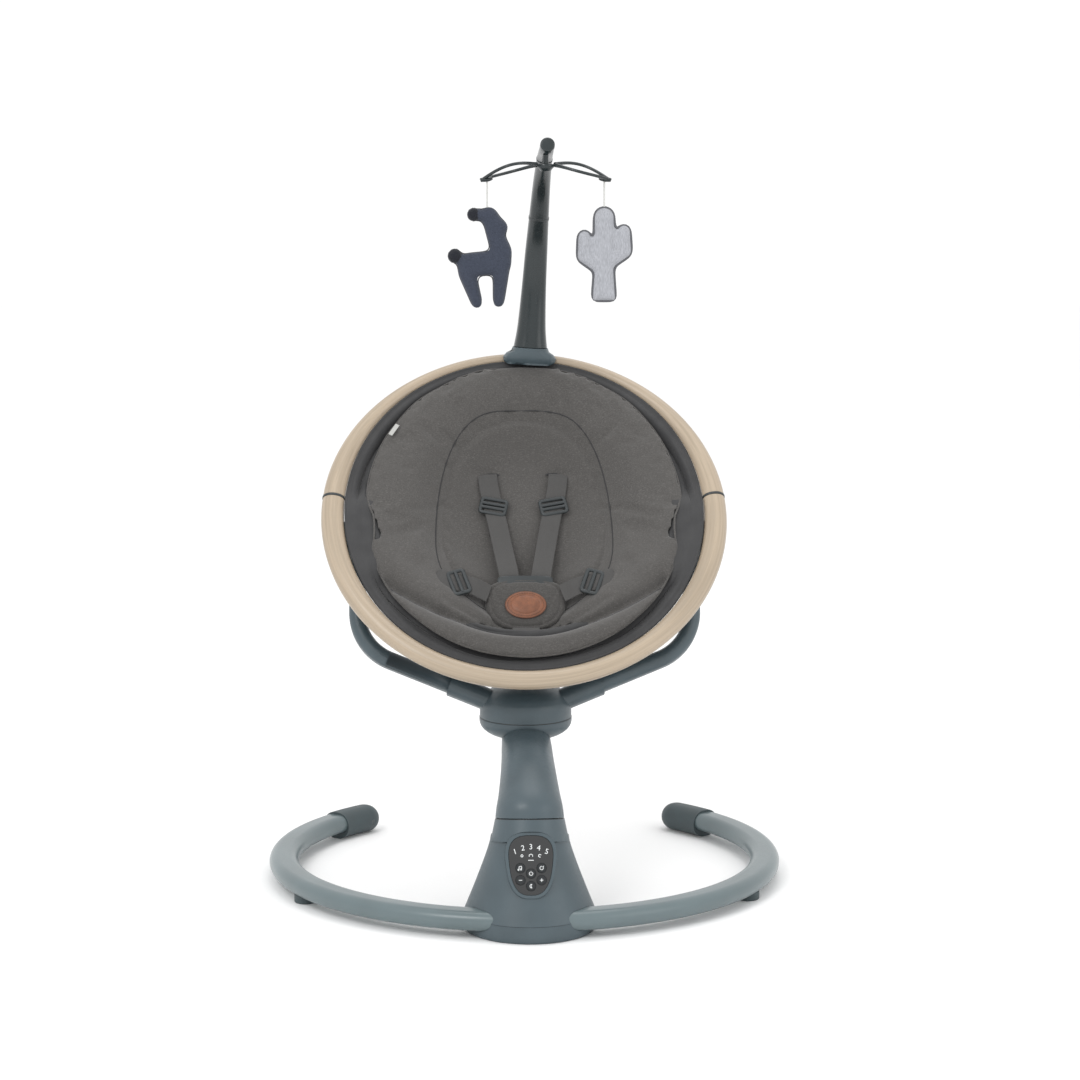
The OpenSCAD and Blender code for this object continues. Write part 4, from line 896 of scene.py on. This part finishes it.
class SWING_OT_arm(bpy.types.Operator):
    """Builds the curved toy arm in its two lengths, its collars and end, and finishes its bracket"""
    bl_idname = "swing.arm"
    bl_label = "Toy arm"

    def execute(self, context):
        hard_copy("arm_bracket", stock("slate"), 0.001, 28)
        for name, node, start, end in (("Arm_lower", "arm_lower", 0.0, 4.0), ("Arm_upper", "arm_upper", 4.012, 8.0)):
            bm = bmesh.new()
            skin(bm, [arm_section(start + (end - start) * k / 48) for k in range(49)], 48)
            eased(keep(name, bm, "seat", stock("gloss"), (node,), 50), 0.0008)
        bm = bmesh.new()
        for u in (4.0, 6.05):
            skin(bm, [arm_section(u + d, g) for d, g in ((-0.035, 0.0), (-0.03, 0.5), (0.03, 0.5), (0.035, 0.0))], 48)
        keep("Arm_collars", bm, "seat", stock("dark"), slot="slate_gloss", angle=50)
        hard_copy("arm_end", stock("gloss"), 0.0006)
        return {"FINISHED"}


def leaf(u):
    t = 2 * u if u < 0.5 else 2 - 2 * u
    h = 1 if u < 0.5 else -1
    return Vector((9 + 69 * t, h * 21 * math.sin(math.pi * t), 3 - 18 * t * t + h * 4.5 * math.sin(math.pi * t))) * MM


class SWING_OT_mobile(bpy.types.Operator):
    """Builds the turning mobile: a hub and two open leaf-shaped arms"""
    bl_idname = "swing.mobile"
    bl_label = "Mobile"

    def execute(self, context):
        centre = Vector((MOBILE_X, MOBILE_Y, MOBILE_Z))
        bm = bmesh.new()
        for turn in (0, math.pi):
            spin = Matrix.Rotation(turn, 4, "Z")
            points = [centre + spin @ leaf(0.02 + 0.96 * k / 60) for k in range(61)]
            rope(bm, points, lambda q: (2.3 + 0.8 * abs(2 * q - 1) ** 8) * MM, 14, flat=0.85)
            # moulded tip that holds the string's knot
            tip = [centre + spin @ (Vector((x, 0, z)) * MM) for x, z in ((66, -13.2), (68, -14.0), (72.5, -15.2), (77, -15.4), (80.5, -15.8), (81, -16))]
            rope(bm, tip, lambda q: (3.0 + 1.7 * math.sin(math.pi * min(1, q * 1.05)) ** 0.6) * MM, 16, flat=0.62)
        # hub turned from a profile
        rings = [(0, -5), (5.6, -5), (6.5, -4.6), (8.4, -2), (10.2, -0.2), (10.5, 0.6), (10.5, 3.2), (10, 3.9), (4, 4), (3.6, 3.6), (3.55, 0.5), (0, 0.5)]
        line = [bm.verts.new(centre + Vector((r, 0, z)) * MM) for r, z in rings]
        edges = [bm.edges.new(pair) for pair in zip(line, line[1:])]
        bmesh.ops.spin(bm, geom=line + edges, cent=centre, axis=(0, 0, 1), angle=2 * math.pi, steps=48, use_merge=True)
        bmesh.ops.remove_doubles(bm, verts=bm.verts, dist=1e-6)
        keep("Mobile", bm, "mobile", stock("gloss"), ("mobile",), 40)
        return {"FINISHED"}


# ---------------------------------------------------------------- soft parts

def rim_at(p):
    return 257 - 2 * ring_half(p) - 0.8


class SWING_OT_liner(bpy.types.Operator):
    """Sews the taffeta bucket that hangs in the ring, with its stretched folds and its hem tape"""
    bl_idname = "swing.liner"
    bl_label = "Liner"

    def execute(self, context):
        fold = context.scene.swing_sizes.fold / MM
        bm = bmesh.new()
        places = []
        spots = [3 * k / 66 for k in range(66)] + [3 + (len(BUCKET_ROWS) - 4) * k / 36 for k in range(37)]
        for u in spots:
            share, z = along(BUCKET_ROWS, u)

            def place(t, share=share, z=z):
                p = math.degrees(t) % 360
                q = p if p <= 180 else 360 - p
                m = smooth((share - 0.8) / 0.2)
                r = share * (m * rim_at(p) + (1 - m) * 228)
                over = smooth((22 - abs(q - 100.5)) / 9) * smooth((share - 0.8) / 0.03)
                # folds run round under the rim with sharp valleys, deepest at the sides, and wander a little
                wander = 0.35 * noise.noise(Vector((2 * math.cos(t), 2 * math.sin(t), 1)))
                wave = 2 * abs(math.sin(math.pi * (share * 15 + wander))) ** 0.6 - 1
                deep = fold * smooth((share - 0.79) / 0.03) * smooth((0.985 - share) / 0.03) * (0.35 + 0.65 * abs(math.sin(t)))
                low = 12 * (1 - m) * smooth(share / 0.5)
                h = z * (1 - over) + (3.2 + 2.8 * smooth((share - 0.9) / 0.05)) * over + deep * wave * (1 - over) - (5 * smooth((share - 0.8) / 0.05) * smooth((0.97 - share) / 0.05)) * (1 - over)
                return seat(r * math.sin(t), r * math.cos(t) + low, h)

            places.append(place)
        rings = skin(bm, places, 160, caps=False)
        bmesh.ops.contextual_create(bm, geom=ring_edges(rings[-1]))
        made = keep("Bucket_liner", bm, "seat", stock("liner"), ("bucket",), 60)
        wall = made.modifiers.new("Cloth wall", "SOLIDIFY")
        wall.thickness, wall.offset = 0.0014, -1
        # hem tape round the rim
        bm = bmesh.new()
        points = []
        for k in range(180):
            t = 2 * math.pi * k / 180
            p = math.degrees(t)
            q = p if p <= 180 else 360 - p
            over = smooth((22 - abs(q - 100.5)) / 9)
            points.append(seat((rim_at(p) - 1.2) * math.sin(t), (rim_at(p) - 1.2) * math.cos(t), 1.4 * (1 - over) + 6.6 * over))
        rope(bm, points, 0.0017, 10, closed=True, flat=0.8, up=SEAT_UP)
        keep("Liner_hem", bm, "seat", stock("liner"), slot="nylon")
        return {"FINISHED"}


def pad_outline(f, p):
    return 203 * f * spow(math.sin(p), 0.96), 10.5 + 228.5 * f * spow(math.cos(p), 0.96)


class SWING_OT_pad(bpy.types.Operator):
    """Stuffs the seat pad, then sews its front roll and its outer seam"""
    bl_idname = "swing.pad"
    bl_label = "Seat pad"

    def execute(self, context):
        bm = bmesh.new()
        places = []
        for f in (0.04, 0.2, 0.35, 0.5, 0.6, 0.7, 0.78, 0.85, 0.91, 0.955, 0.982):
            places.append(lambda t, f=f: seat(*self.corner(f, t, pad_under)))
        places.append(lambda t: seat(*self.corner(0.995, t, lambda x, s: max(pad_top(x, s) - 5, 6 * pad_lift(x, s)))))
        for f in (0.985, 0.96, 0.92, 0.87, 0.81, 0.75, 0.69, 0.63, 0.57, 0.5, 0.42, 0.33, 0.22, 0.1, 0.03):
            places.append(lambda t, f=f: seat(*self.corner(f, t, lambda x, s: pad_top(x, s) - 1.5)))
        skin(bm, places, 128)
        made = remesh(keep("Bucket_pad", bm, "seat", stock("pad"), ("pad",), 180), 0.005)
        back = SEAT.inverted()

        def held(co):
            q = back @ co / MM
            if q.z < pad_top(q.x, q.y) - 9 or math.hypot(q.x, q.y - 52) < 80:
                return 1.0
            near = abs(q.y - roll_seam(q.x)) if abs(q.x) < 176 else 99
            return 0.9 * smooth((9 - near) / 5)

        puff(made, 4, context.scene.swing_sizes.pad_swell, held)
        shape(made, self.sewn)
        finer(made)
        # topstitching beside the roll seam
        face = tree_of(made)
        bm = bmesh.new()
        step = context.scene.swing_sizes.stitch / MM
        x = -168.0
        while x < 168:
            if abs(x) > 64:
                self.stitch(bm, face, x, roll_seam(x) - 5.5, x + step * 0.66, roll_seam(x + step * 0.66) - 5.5)
            x += step * (1.0 if abs(x) < 90 else 0.62)
        keep("Pad_topstitch", bm, "seat", stock("thread"), slot="melange")
        # seam cord at the pad's edge
        bm = bmesh.new()
        edge = []
        for k in range(240):
            x, s = pad_outline(1, 2 * math.pi * k / 240)
            spot, normal = face.find_nearest(seat(x, s, max(pad_top(x, s) - 5, 6 * pad_lift(x, s))))[:2]
            edge.append(spot + normal * 0.0003)
        edge = [sum((edge[(i + j) % 240] for j in (-3, -2, -1, 0, 1, 2, 3)), Vector()) / 7 for i in range(240)]
        rope(bm, edge, 0.0012, 8, closed=True, up=SEAT_UP)
        keep("Pad_edge_cord", bm, "seat", stock("pad"), slot="melange")
        return {"FINISHED"}

    @staticmethod
    def corner(f, t, height):
        x, s = pad_outline(f, t)
        return x, s, height(x, s)

    @staticmethod
    def sewn(x, s, h):
        """Draws the seam of the front roll into the pad, and dimples along it."""
        if h < pad_top(x, s) - 10 or abs(x) > 184:
            return x, s, h
        d = (s - roll_seam(x)) / (1 + 0.6 * abs(x) / 176)
        dimple = 1 + 0.25 * noise.noise(Vector((x / 16, s / 16, 0)))
        groove = 9 * dimple * math.exp(-(d / 4.5) ** 2) + 5.5 * math.exp(-(d / 13) ** 2)
        swell = 3.2 * math.exp(-((d - 19) / 13) ** 2) + 5.5 * math.exp(-((d + 19) / 11) ** 2)
        fade = smooth((182 - abs(x)) / 12)
        slack = 1.1 * noise.noise(Vector((x / 48, s / 48, 3))) + 0.35 * noise.noise(Vector((x / 15, s / 15, 7)))
        return x, s, h + (swell - groove) * fade + slack

    @staticmethod
    def stitch(bm, face, x0, s0, x1, s1):
        a, b = (face.ray_cast(seat(x, s, 90), -SEAT_UP)[0] for x, s in ((x0, s0), (x1, s1)))
        if a and b and (a - b).length < 0.006:
            lift = SEAT_UP * 0.0002
            rope(bm, [a + lift * 0.2, a.lerp(b, 0.25) + lift, a.lerp(b, 0.75) + lift, b + lift * 0.2], 0.0004, 6, up=SEAT_UP)


def inlay_outline(f, p):
    return 112 * f * spow(math.sin(p), 0.65), -23 + (190 if math.cos(p) > 0 else 110) * f * spow(math.cos(p), 0.9)


class SWING_OT_inlay(bpy.types.Operator):
    """Stuffs the egg-shaped infant inlay, sews a welt round its edge, pulls it in at its two harness slots and fills
    them with dark pieces; welt and fillers are partly painted shade
    """
    bl_idname = "swing.inlay"
    bl_label = "Infant inlay"

    def execute(self, context):
        bm = bmesh.new()

        def place(f, d):
            def at(t):
                x, s = inlay_outline(f, t)
                return seat(x, s, pad_top(x, s) + d)
            return at

        places = [place(f, -1.5) for f in (0.04, 0.2, 0.4, 0.6, 0.75, 0.87, 0.95)]
        places += [place(0.995, 0.6)]
        places += [place(f, 1.2 + 8.2 * math.sqrt(1 - f * f)) for f in (0.985, 0.95, 0.9, 0.83, 0.75, 0.65, 0.53, 0.4, 0.25, 0.1, 0.03)]
        skin(bm, places, 112)
        made = remesh(keep("Infant_inlay", bm, "seat", stock("inlay"), ("inlay",), 180), 0.004)
        back = SEAT.inverted()

        def held(co):
            q = back @ co / MM
            return 1.0 if q.z < pad_top(q.x, q.y) + 1.0 else 0.0

        puff(made, 4, context.scene.swing_sizes.inlay_swell, held)
        shape(made, self.slots)
        finer(made)
        face = tree_of(made, bpy.data.objects["Bucket_pad"])
        # welt round the inlay's edge in dark seam thread: partly the real sewn welt, partly painted shade of the crease
        # along the edge
        bm = bmesh.new()
        edge = []
        for k in range(200):
            x, s = inlay_outline(1.004, 2 * math.pi * k / 200)
            hit = face.ray_cast(seat(x, s, 80), -SEAT_UP)[0]
            edge.append(hit if hit else seat(x, s, pad_top(x, s)))
        edge = [sum((edge[(i + j) % 200] for j in (-2, -1, 0, 1, 2)), Vector()) / 5 - SEAT_UP * 0.0001 for i in range(200)]
        rope(bm, edge, 0.0008, 8, closed=True, up=SEAT_UP)
        keep("Inlay_welt", bm, "seat", stock("seam"), slot="melange")
        # bound slots for the shoulder straps: closed dark pieces, partly the slots' binding, partly painted shade in
        # the open slots
        bm = bmesh.new()
        for s in (-1, 1):
            mid = face.ray_cast(seat(s * 46, 87, 80), -SEAT_UP)[0] + SEAT_UP * 0.0002
            right = Vector((1, 0, 0))
            up = (SEAT.to_3x3() @ Vector((0, 1, 0))).normalized()
            skin(bm, [lambda t, w=w, d=d, z=z: mid + right * (w * spow(math.cos(t), 0.7)) + up * (d * math.sin(t)) + SEAT_UP * z for w, d, z in ((0.0125, 0.0011, -0.002), (0.0155, 0.0021, -0.0008), (0.0165, 0.0027, 0.0006), (0.0155, 0.0018, 0.0010), (0.0142, 0.0009, 0.0002))], 32)
        keep("Inlay_slots", bm, "seat", stock("seam"), slot="melange", angle=60)
        return {"FINISHED"}

    @staticmethod
    def slots(x, s, h):
        """Pulls the inlay in at the two harness slots, and lets it ripple."""
        pull = sum(3.2 * math.exp(-((x - c * 46) / 17) ** 2 - ((s - 86) / 7) ** 2) for c in (-1, 1))
        top = smooth((h - pad_top(x, s) - 2) / 4)
        slack = 0.9 * noise.noise(Vector((x / 40, s / 40, 11))) + 0.3 * noise.noise(Vector((x / 13, s / 13, 5)))
        return x, s, h + (slack - pull) * top


def strap(bm, face, rows, width, thick=1.7, steps=10, floor=None):
    """Lays webbing on the seat through rows of across, slope and clearance, in millimetres, and marks its weave."""
    weave = bm.verts.layers.float_vector.get("weave") or bm.verts.layers.float_vector.new("weave")
    flat = [along(rows, k / steps) for k in range((len(rows) - 1) * steps + 1)]
    back = SEAT.inverted()

    def height(x, s):
        hit = face.ray_cast(seat(x, s, 120), -SEAT_UP)[0]
        return (back @ hit).z / MM if hit else pad_top(x, s)

    line = []
    for i, (x, s, lift) in enumerate(flat):
        a, b = flat[max(0, i - 1)], flat[min(len(flat) - 1, i + 1)]
        d = Vector((b[0] - a[0], b[1] - a[1])).normalized()
        e = Vector((-d.y, d.x)) * width / 2
        h = max(height(x, s), 0.5 * (height(x + e.x * 0.8, s + e.y * 0.8) + height(x - e.x * 0.8, s - e.y * 0.8)))
        line.append([x, s, h + lift, e.x, e.y])
    hs = [r[2] for r in line]
    for _ in range(4):
        hs = [hs[0]] + [(hs[i - 1] + 2 * hs[i] + hs[i + 1]) / 4 for i in range(1, len(hs) - 1)] + [hs[-1]]
    mids = [seat(r[0], r[1], h) for r, h in zip(line, hs)]
    run, places, marks = 0.0, [], []
    for i, m in enumerate(mids):
        run += (m - mids[i - 1]).length if i else 0
        d = (mids[min(i + 1, len(mids) - 1)] - mids[max(0, i - 1)]).normalized()
        side = (SEAT.to_3x3() @ Vector((line[i][3], line[i][4], 0))).normalized()
        up = side.cross(d).normalized()
        up = up if up.dot(SEAT_UP) > 0 else -up
        places.append(lambda t, m=m, side=side, up=up: m + side * (width / 2 * MM * spow(math.cos(t), 0.3)) + up * (thick * MM * (0.5 + 0.5 * spow(math.sin(t), 0.45))))
        marks.append((run, m, side))
    rings = skin(bm, places, 20)
    for ring, (run, m, side) in zip(rings, marks):
        for v in ring:
            v[weave] = (run, (v.co - m).dot(side), 0)
    return mids


def loop_frame(bm, centre, right, up, w, h, r, bars=()):
    """A moulded frame: a rounded rectangle of round bar, with cross bars."""
    out = right.cross(up).normalized()
    points = []
    for cx, cy, a0 in ((1, 1, 0), (-1, 1, 90), (-1, -1, 180), (1, -1, 270)):
        for k in range(5):
            a = math.radians(a0 + 22.5 * k)
            points.append(centre + right * (cx * (w / 2 - 0.003) + 0.003 * math.cos(a)) + up * (cy * (h / 2 - 0.003) + 0.003 * math.sin(a)))
    rope(bm, points, r, 10, closed=True, flat=0.85, up=out)
    for y in bars:
        rope(bm, [centre + right * x + up * y + out * 0.0008 for x in (-w / 2, -w / 4, 0, w / 4, w / 2)], r * 0.95, 10, flat=0.85, up=out)


class SWING_OT_harness(bpy.types.Operator):
    """Lays the shoulder and waist straps over the seat and threads their sliders"""
    bl_idname = "swing.harness"
    bl_label = "Harness"

    def execute(self, context):
        wide = context.scene.swing_sizes.webbing / MM
        face = tree_of(settle_copy("Bucket_pad"), settle_copy("Infant_inlay"))
        up = (SEAT.to_3x3() @ Vector((0, 1, 0))).normalized()
        right = Vector((1, 0, 0))
        bm = bmesh.new()
        spots = []
        for s in (-1, 1):
            rows = [(s * 46, 88, -3), (s * 45.4, 79, 3), (s * 43.5, 62, 3.5), (s * 39, 36, 5), (s * 33, 2, 7), (s * 27.5, -32, 10), (s * 22.5, -66, 17), (s * 20, -84, 17)]
            mids = strap(bm, face, rows, wide, 1.6)
            # doubled webbing below the slider
            rows = [(s * 37.6, 28, 3.6), (s * 35.6, 16, 3.4), (s * 33.9, 6, 2.6), (s * 32.2, -6, 1.6)]
            strap(bm, face, rows, wide * 0.98, 1.6)
            spots.append((mids[31], s))
        keep("Shoulder_straps", bm, "seat", stock("webbing"), ("straps_shoulder",), 60)
        bm = bmesh.new()
        waist = []
        for s in (-1, 1):
            rows = [(s * 113, -92, -4), (s * 104, -96, 2), (s * 92, -100, 5), (s * 77, -103, 10), (s * 62, -107, 16), (s * 46, -112, 18)]
            mids = strap(bm, face, rows, wide, 1.6)
            waist.append((mids[26], s))
        rows = [(0, -140, 0), (0, -152, 3), (0, -162, 3), (0, -170, -2)]
        strap(bm, face, rows, 34, 2.2)
        keep("Waist_straps", bm, "seat", stock("webbing"), ("straps_waist",), 60)
        bm = bmesh.new()
        for mid, s in spots:
            tilt = Matrix.Rotation(s * math.radians(12), 3, SEAT_UP)
            loop_frame(bm, mid + SEAT_UP * 0.0022, tilt @ right, tilt @ up, 0.0318, 0.0215, 0.0025, (-0.0030, 0.0030))
        for mid, s in waist:
            tilt = Matrix.Rotation(s * math.radians(72), 3, SEAT_UP)
            loop_frame(bm, mid + SEAT_UP * 0.0022, tilt @ right, tilt @ up, 0.0325, 0.0195, 0.0026, (0.0,))
        keep("Sliders", bm, "seat", stock("dark"), ("sliders",), 60)
        return {"FINISHED"}


def settle_copy(name):
    """The finished shape of a piece, as a loose mesh holder."""
    graph = bpy.context.evaluated_depsgraph_get()

    class Holder:
        data = bpy.data.objects[name].evaluated_get(graph).data
    return Holder


def cover_outline(k, t):
    return k * (50 + 7 * math.sin(t)) * spow(math.cos(t), 0.7), k * 36 * spow(math.sin(t), 0.75)


class SWING_OT_buckle(bpy.types.Operator):
    """Builds the padded buckle cover, its tongue bar and its stitched leather badge"""
    bl_idname = "swing.buckle"
    bl_label = "Buckle"

    def execute(self, context):
        bm = bmesh.new()

        def at(k, z, pinch=0.0):
            def place(t):
                x, y = cover_outline(k, t)
                # pleats run from the badge out to the four corners and the foot of the cover
                pleat = sum(math.exp(-((abs(x) - c - d * y) / 1.8) ** 2) for c, d in ((31, 0.42), (34, -0.5))) * smooth((z - 1) / 2)
                return BUCKLE @ (Vector((x, y, z - pinch * abs(math.sin(3 * t)) - 1.3 * pleat)) * MM)
            return place

        rows = [(0.6, -9), (0.9, -9), (0.97, -8), (1.0, -5), (1.0, -1), (0.985, 1.6), (0.955, 3.4), (0.9, 4.4), (0.86, 3.7), (0.83, 4.8), (0.77, 5.4), (0.7, 5.8), (0.62, 6.0), (0.55, 6.0), (0.45, 6.0)]
        skin(bm, [at(k, z, 0.5 if k == 0.86 else 0) for k, z in rows], 128)
        finer(keep("Buckle_cover", bm, "seat", stock("cover"), ("buckle",), 70))
        bm = bmesh.new()
        skin(bm, [lambda t, k=k, z=z: BUCKLE @ (Vector((35 * k * spow(math.cos(t), 0.45), 33 + 7 * k * spow(math.sin(t), 0.5), z)) * MM) for k, z in ((0.9, -6), (1, -5.4), (1, 2.4), (0.97, 3.4), (0.9, 3.9))], 40)
        eased(keep("Buckle_bar", bm, "seat", stock("dark"), slot="dark_plastic"), 0.0006)
        # leather badge, domed, with a burnished edge, one ring of stitches and a blind-stamped line
        spot = BUCKLE @ Matrix.Translation((0, -0.003, 0))
        oval = lambda w, h, z: lambda t: spot @ (Vector((w * math.cos(t), h * math.sin(t), z)) * MM)
        bm = bmesh.new()
        skin(bm, [oval(25.5 * k, 18.5 * k, z) for k, z in ((0.9, 2.4), (1.0, 3.0), (1.0, 7.1), (0.985, 7.7), (0.95, 8.0), (0.8, 8.3), (0.72, 8.35), (0.7, 8.05), (0.68, 8.4), (0.4, 8.7), (0.1, 8.8))], 72)
        keep("Badge", bm, "buckle_button", stock("leather"), ("buckle_button",), 60)
        bm = bmesh.new()
        rope(bm, [oval(25.45, 18.45, 7.2)(2 * math.pi * k / 96) for k in range(96)], 0.0006, 8, closed=True)
        keep("Badge_edge", bm, "buckle_button", stock("mark"), slot="tan_leather")
        bm = bmesh.new()
        for k in range(44):
            a, b = 2 * math.pi * k / 44, 2 * math.pi * (k + 0.6) / 44
            rope(bm, [oval(22.6, 15.9, z)(a + (b - a) * q) for q, z in ((0, 7.9), (0.25, 8.35), (0.75, 8.35), (1, 7.9))], 0.00036, 6)
        keep("Badge_stitches", bm, "buckle_button", stock("mark"), slot="tan_leather")
        # plain white care tab on the liner's left edge
        bm = bmesh.new()
        mid = seat(-166, 127, 0)
        edge = (seat(-150, 146, 0) - seat(-172, 108, 0)).normalized()
        out = edge.cross(SEAT_UP).normalized()
        base = mid + SEAT_UP * 0.010
        skin(bm, [lambda t, k=k: base + edge * (0.0095 * spow(math.cos(t), 0.3)) + SEAT_UP * (0.0006 * math.sin(t)) + out * k for k in (-0.0028, -0.0018, 0.0, 0.0018, 0.0028)], 24)
        eased(keep("Care_tab", bm, "seat", stock("label"), slot="ribbon"), 0.0003)
        return {"FINISHED"}


class SWING_OT_toys(bpy.types.Operator):
    """Sews and stuffs the felt llama and the satin cactus"""
    bl_idname = "swing.toys"
    bl_label = "Toys"

    def execute(self, context):
        self.stuffed("Llama", "llama", "toy_left", "llama", 8.0, 13, "thread", 0.0008)
        self.stuffed("Cactus", "cactus", "toy_right", "cactus", 6.6, 11, "binding", 0.0021)
        # darker felt on the tail and the ear
        base = Vector((MOBILE_X - HANG_X, MOBILE_Y, HANG_Z - STRING))
        bm = bmesh.new()
        for x, z, r, w in ((-40, -60, 9.0, 8.4), (-16.5, -9, 8.3, 7.8)):
            made = bmesh.ops.create_icosphere(bm, subdivisions=4, radius=r * MM)["verts"]
            for v in made:
                n = noise.noise(v.co * 900)
                v.co = base + Vector((v.co.x * (1 + 0.08 * n) + x * MM, v.co.y * w / r * (1 + 0.08 * n), v.co.z * (1 + 0.08 * n) + z * MM))
        keep("Llama_tail_and_ear", bm, "toy_left", stock("tail"), slot="felt_dark", angle=180)
        return {"FINISHED"}

    @staticmethod
    def stuffed(name, node, body, cloth, half, soft, edge, cord):
        """Puffs a flat toy from its outline: thick in its middle, thin at its sewn edge."""
        bm = bmesh.new()
        bm.from_mesh(NODES[node].data)
        bmesh.ops.remove_doubles(bm, verts=bm.verts, dist=3e-6)
        walls = bmesh.new()
        walls.from_mesh(NODES[node].data)
        bmesh.ops.delete(walls, geom=[f for f in walls.faces if abs(f.normal.y) > 0.5], context="FACES")
        sides = BVHTree.FromBMesh(walls)
        walls.free()
        made = remesh(keep(name, bm, body, stock(cloth), (node,), 180, turn=False), 0.0022)
        thick = (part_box(node)[1].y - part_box(node)[0].y) / 2
        for v in made.data.vertices:
            d = sides.find_nearest(Vector((v.co.x, MOBILE_Y, v.co.z)))[3] / MM
            full = math.sqrt(max(0.0, 1 - (1 - min(1.0, d / soft)) ** 2))
            ripple = 0.3 * noise.noise(Vector((v.co.x, v.co.y, v.co.z)) * 150)
            v.co.y = MOBILE_Y + (v.co.y - MOBILE_Y) / thick * (0.9 + (half - 0.9) * full + ripple * full) * MM
        for _ in range(3):
            bm = bmesh.new()
            bm.from_mesh(made.data)
            bmesh.ops.smooth_vert(bm, verts=bm.verts, factor=0.5, use_axis_x=True, use_axis_y=True, use_axis_z=True)
            bm.to_mesh(made.data)
            bm.free()
        finer(made)
        # seam tape along the outline, cut where the middle plane meets the toy
        bm = bmesh.new()
        bm.from_mesh(made.data)
        cut = bmesh.ops.bisect_plane(bm, geom=list(bm.verts) + list(bm.edges) + list(bm.faces), plane_co=(0, MOBILE_Y, 0), plane_no=(0, 1, 0), clear_inner=True, clear_outer=True)
        edges = [e for e in cut["geom_cut"] if isinstance(e, bmesh.types.BMEdge)]
        rounds = []
        left = set(edges)
        while left:
            e = left.pop()
            chain = [e.verts[0], e.verts[1]]
            while True:
                step = next((x for x in chain[-1].link_edges if x in left), None)
                if not step:
                    break
                left.discard(step)
                chain.append(step.other_vert(chain[-1]))
            rounds.append([v.co.copy() for v in chain[:-1]] if chain[0] == chain[-1] else [v.co.copy() for v in chain])
        bm.free()
        bm = bmesh.new()
        for line in rounds:
            if len(line) > 30:
                n = len(line)
                line = [sum((line[(i + j) % n] for j in range(-3, 4)), Vector()) / 7 for i in range(0, n, 2)]
                rope(bm, line, cord, 8, closed=True, flat=0.9, up=Vector((0, 1, 0)))
        keep(name + "_seam", bm, body, stock(edge), slot=NODE_SLOT[node])


NODE_SLOT = {"llama": "felt_dark", "cactus": "satin_grey"}


# ---------------------------------------------------------------- panel and registration

class SWING_PT_parts(bpy.types.Panel):
    """Lists the swing's parts, in the order they are made"""
    bl_label = "Baby swing"
    bl_idname = "SWING_PT_parts"
    bl_space_type = "VIEW_3D"
    bl_region_type = "UI"
    bl_category = "Swing"

    def draw(self, context):
        for group in (context.scene.swing_sizes, context.scene.swing_colours):
            box = self.layout.box()
            for name in group.__annotations__:
                box.prop(group, name)
        for step in STEPS:
            self.layout.operator(step.bl_idname)


STEPS = (SWING_OT_stage, SWING_OT_strings, SWING_OT_base, SWING_OT_panel, SWING_OT_stem, SWING_OT_carrier, SWING_OT_ring, SWING_OT_arm,
         SWING_OT_mobile, SWING_OT_liner, SWING_OT_pad, SWING_OT_inlay, SWING_OT_harness, SWING_OT_buckle, SWING_OT_toys)
CLASSES = (SwingSizes, SwingColours) + STEPS + (SWING_PT_parts,)


def register():
    for made in CLASSES:
        bpy.utils.register_class(made)
    bpy.types.Scene.swing_sizes = PointerProperty(type=SwingSizes)
    bpy.types.Scene.swing_colours = PointerProperty(type=SwingColours)


def unregister():
    del bpy.types.Scene.swing_sizes
    del bpy.types.Scene.swing_colours
    for made in reversed(CLASSES):
        bpy.utils.unregister_class(made)


def main():
    register()
    for step in STEPS:
        group, name = step.bl_idname.split(".")
        getattr(getattr(bpy.ops, group), name)()
    plain = lambda box_: [[round(float(c), 6) for c in corner] for corner in box_]
    {"cad": plain(CAD_BOX), "visual": plain(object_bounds())}


if __name__ == "__main__":
    main()
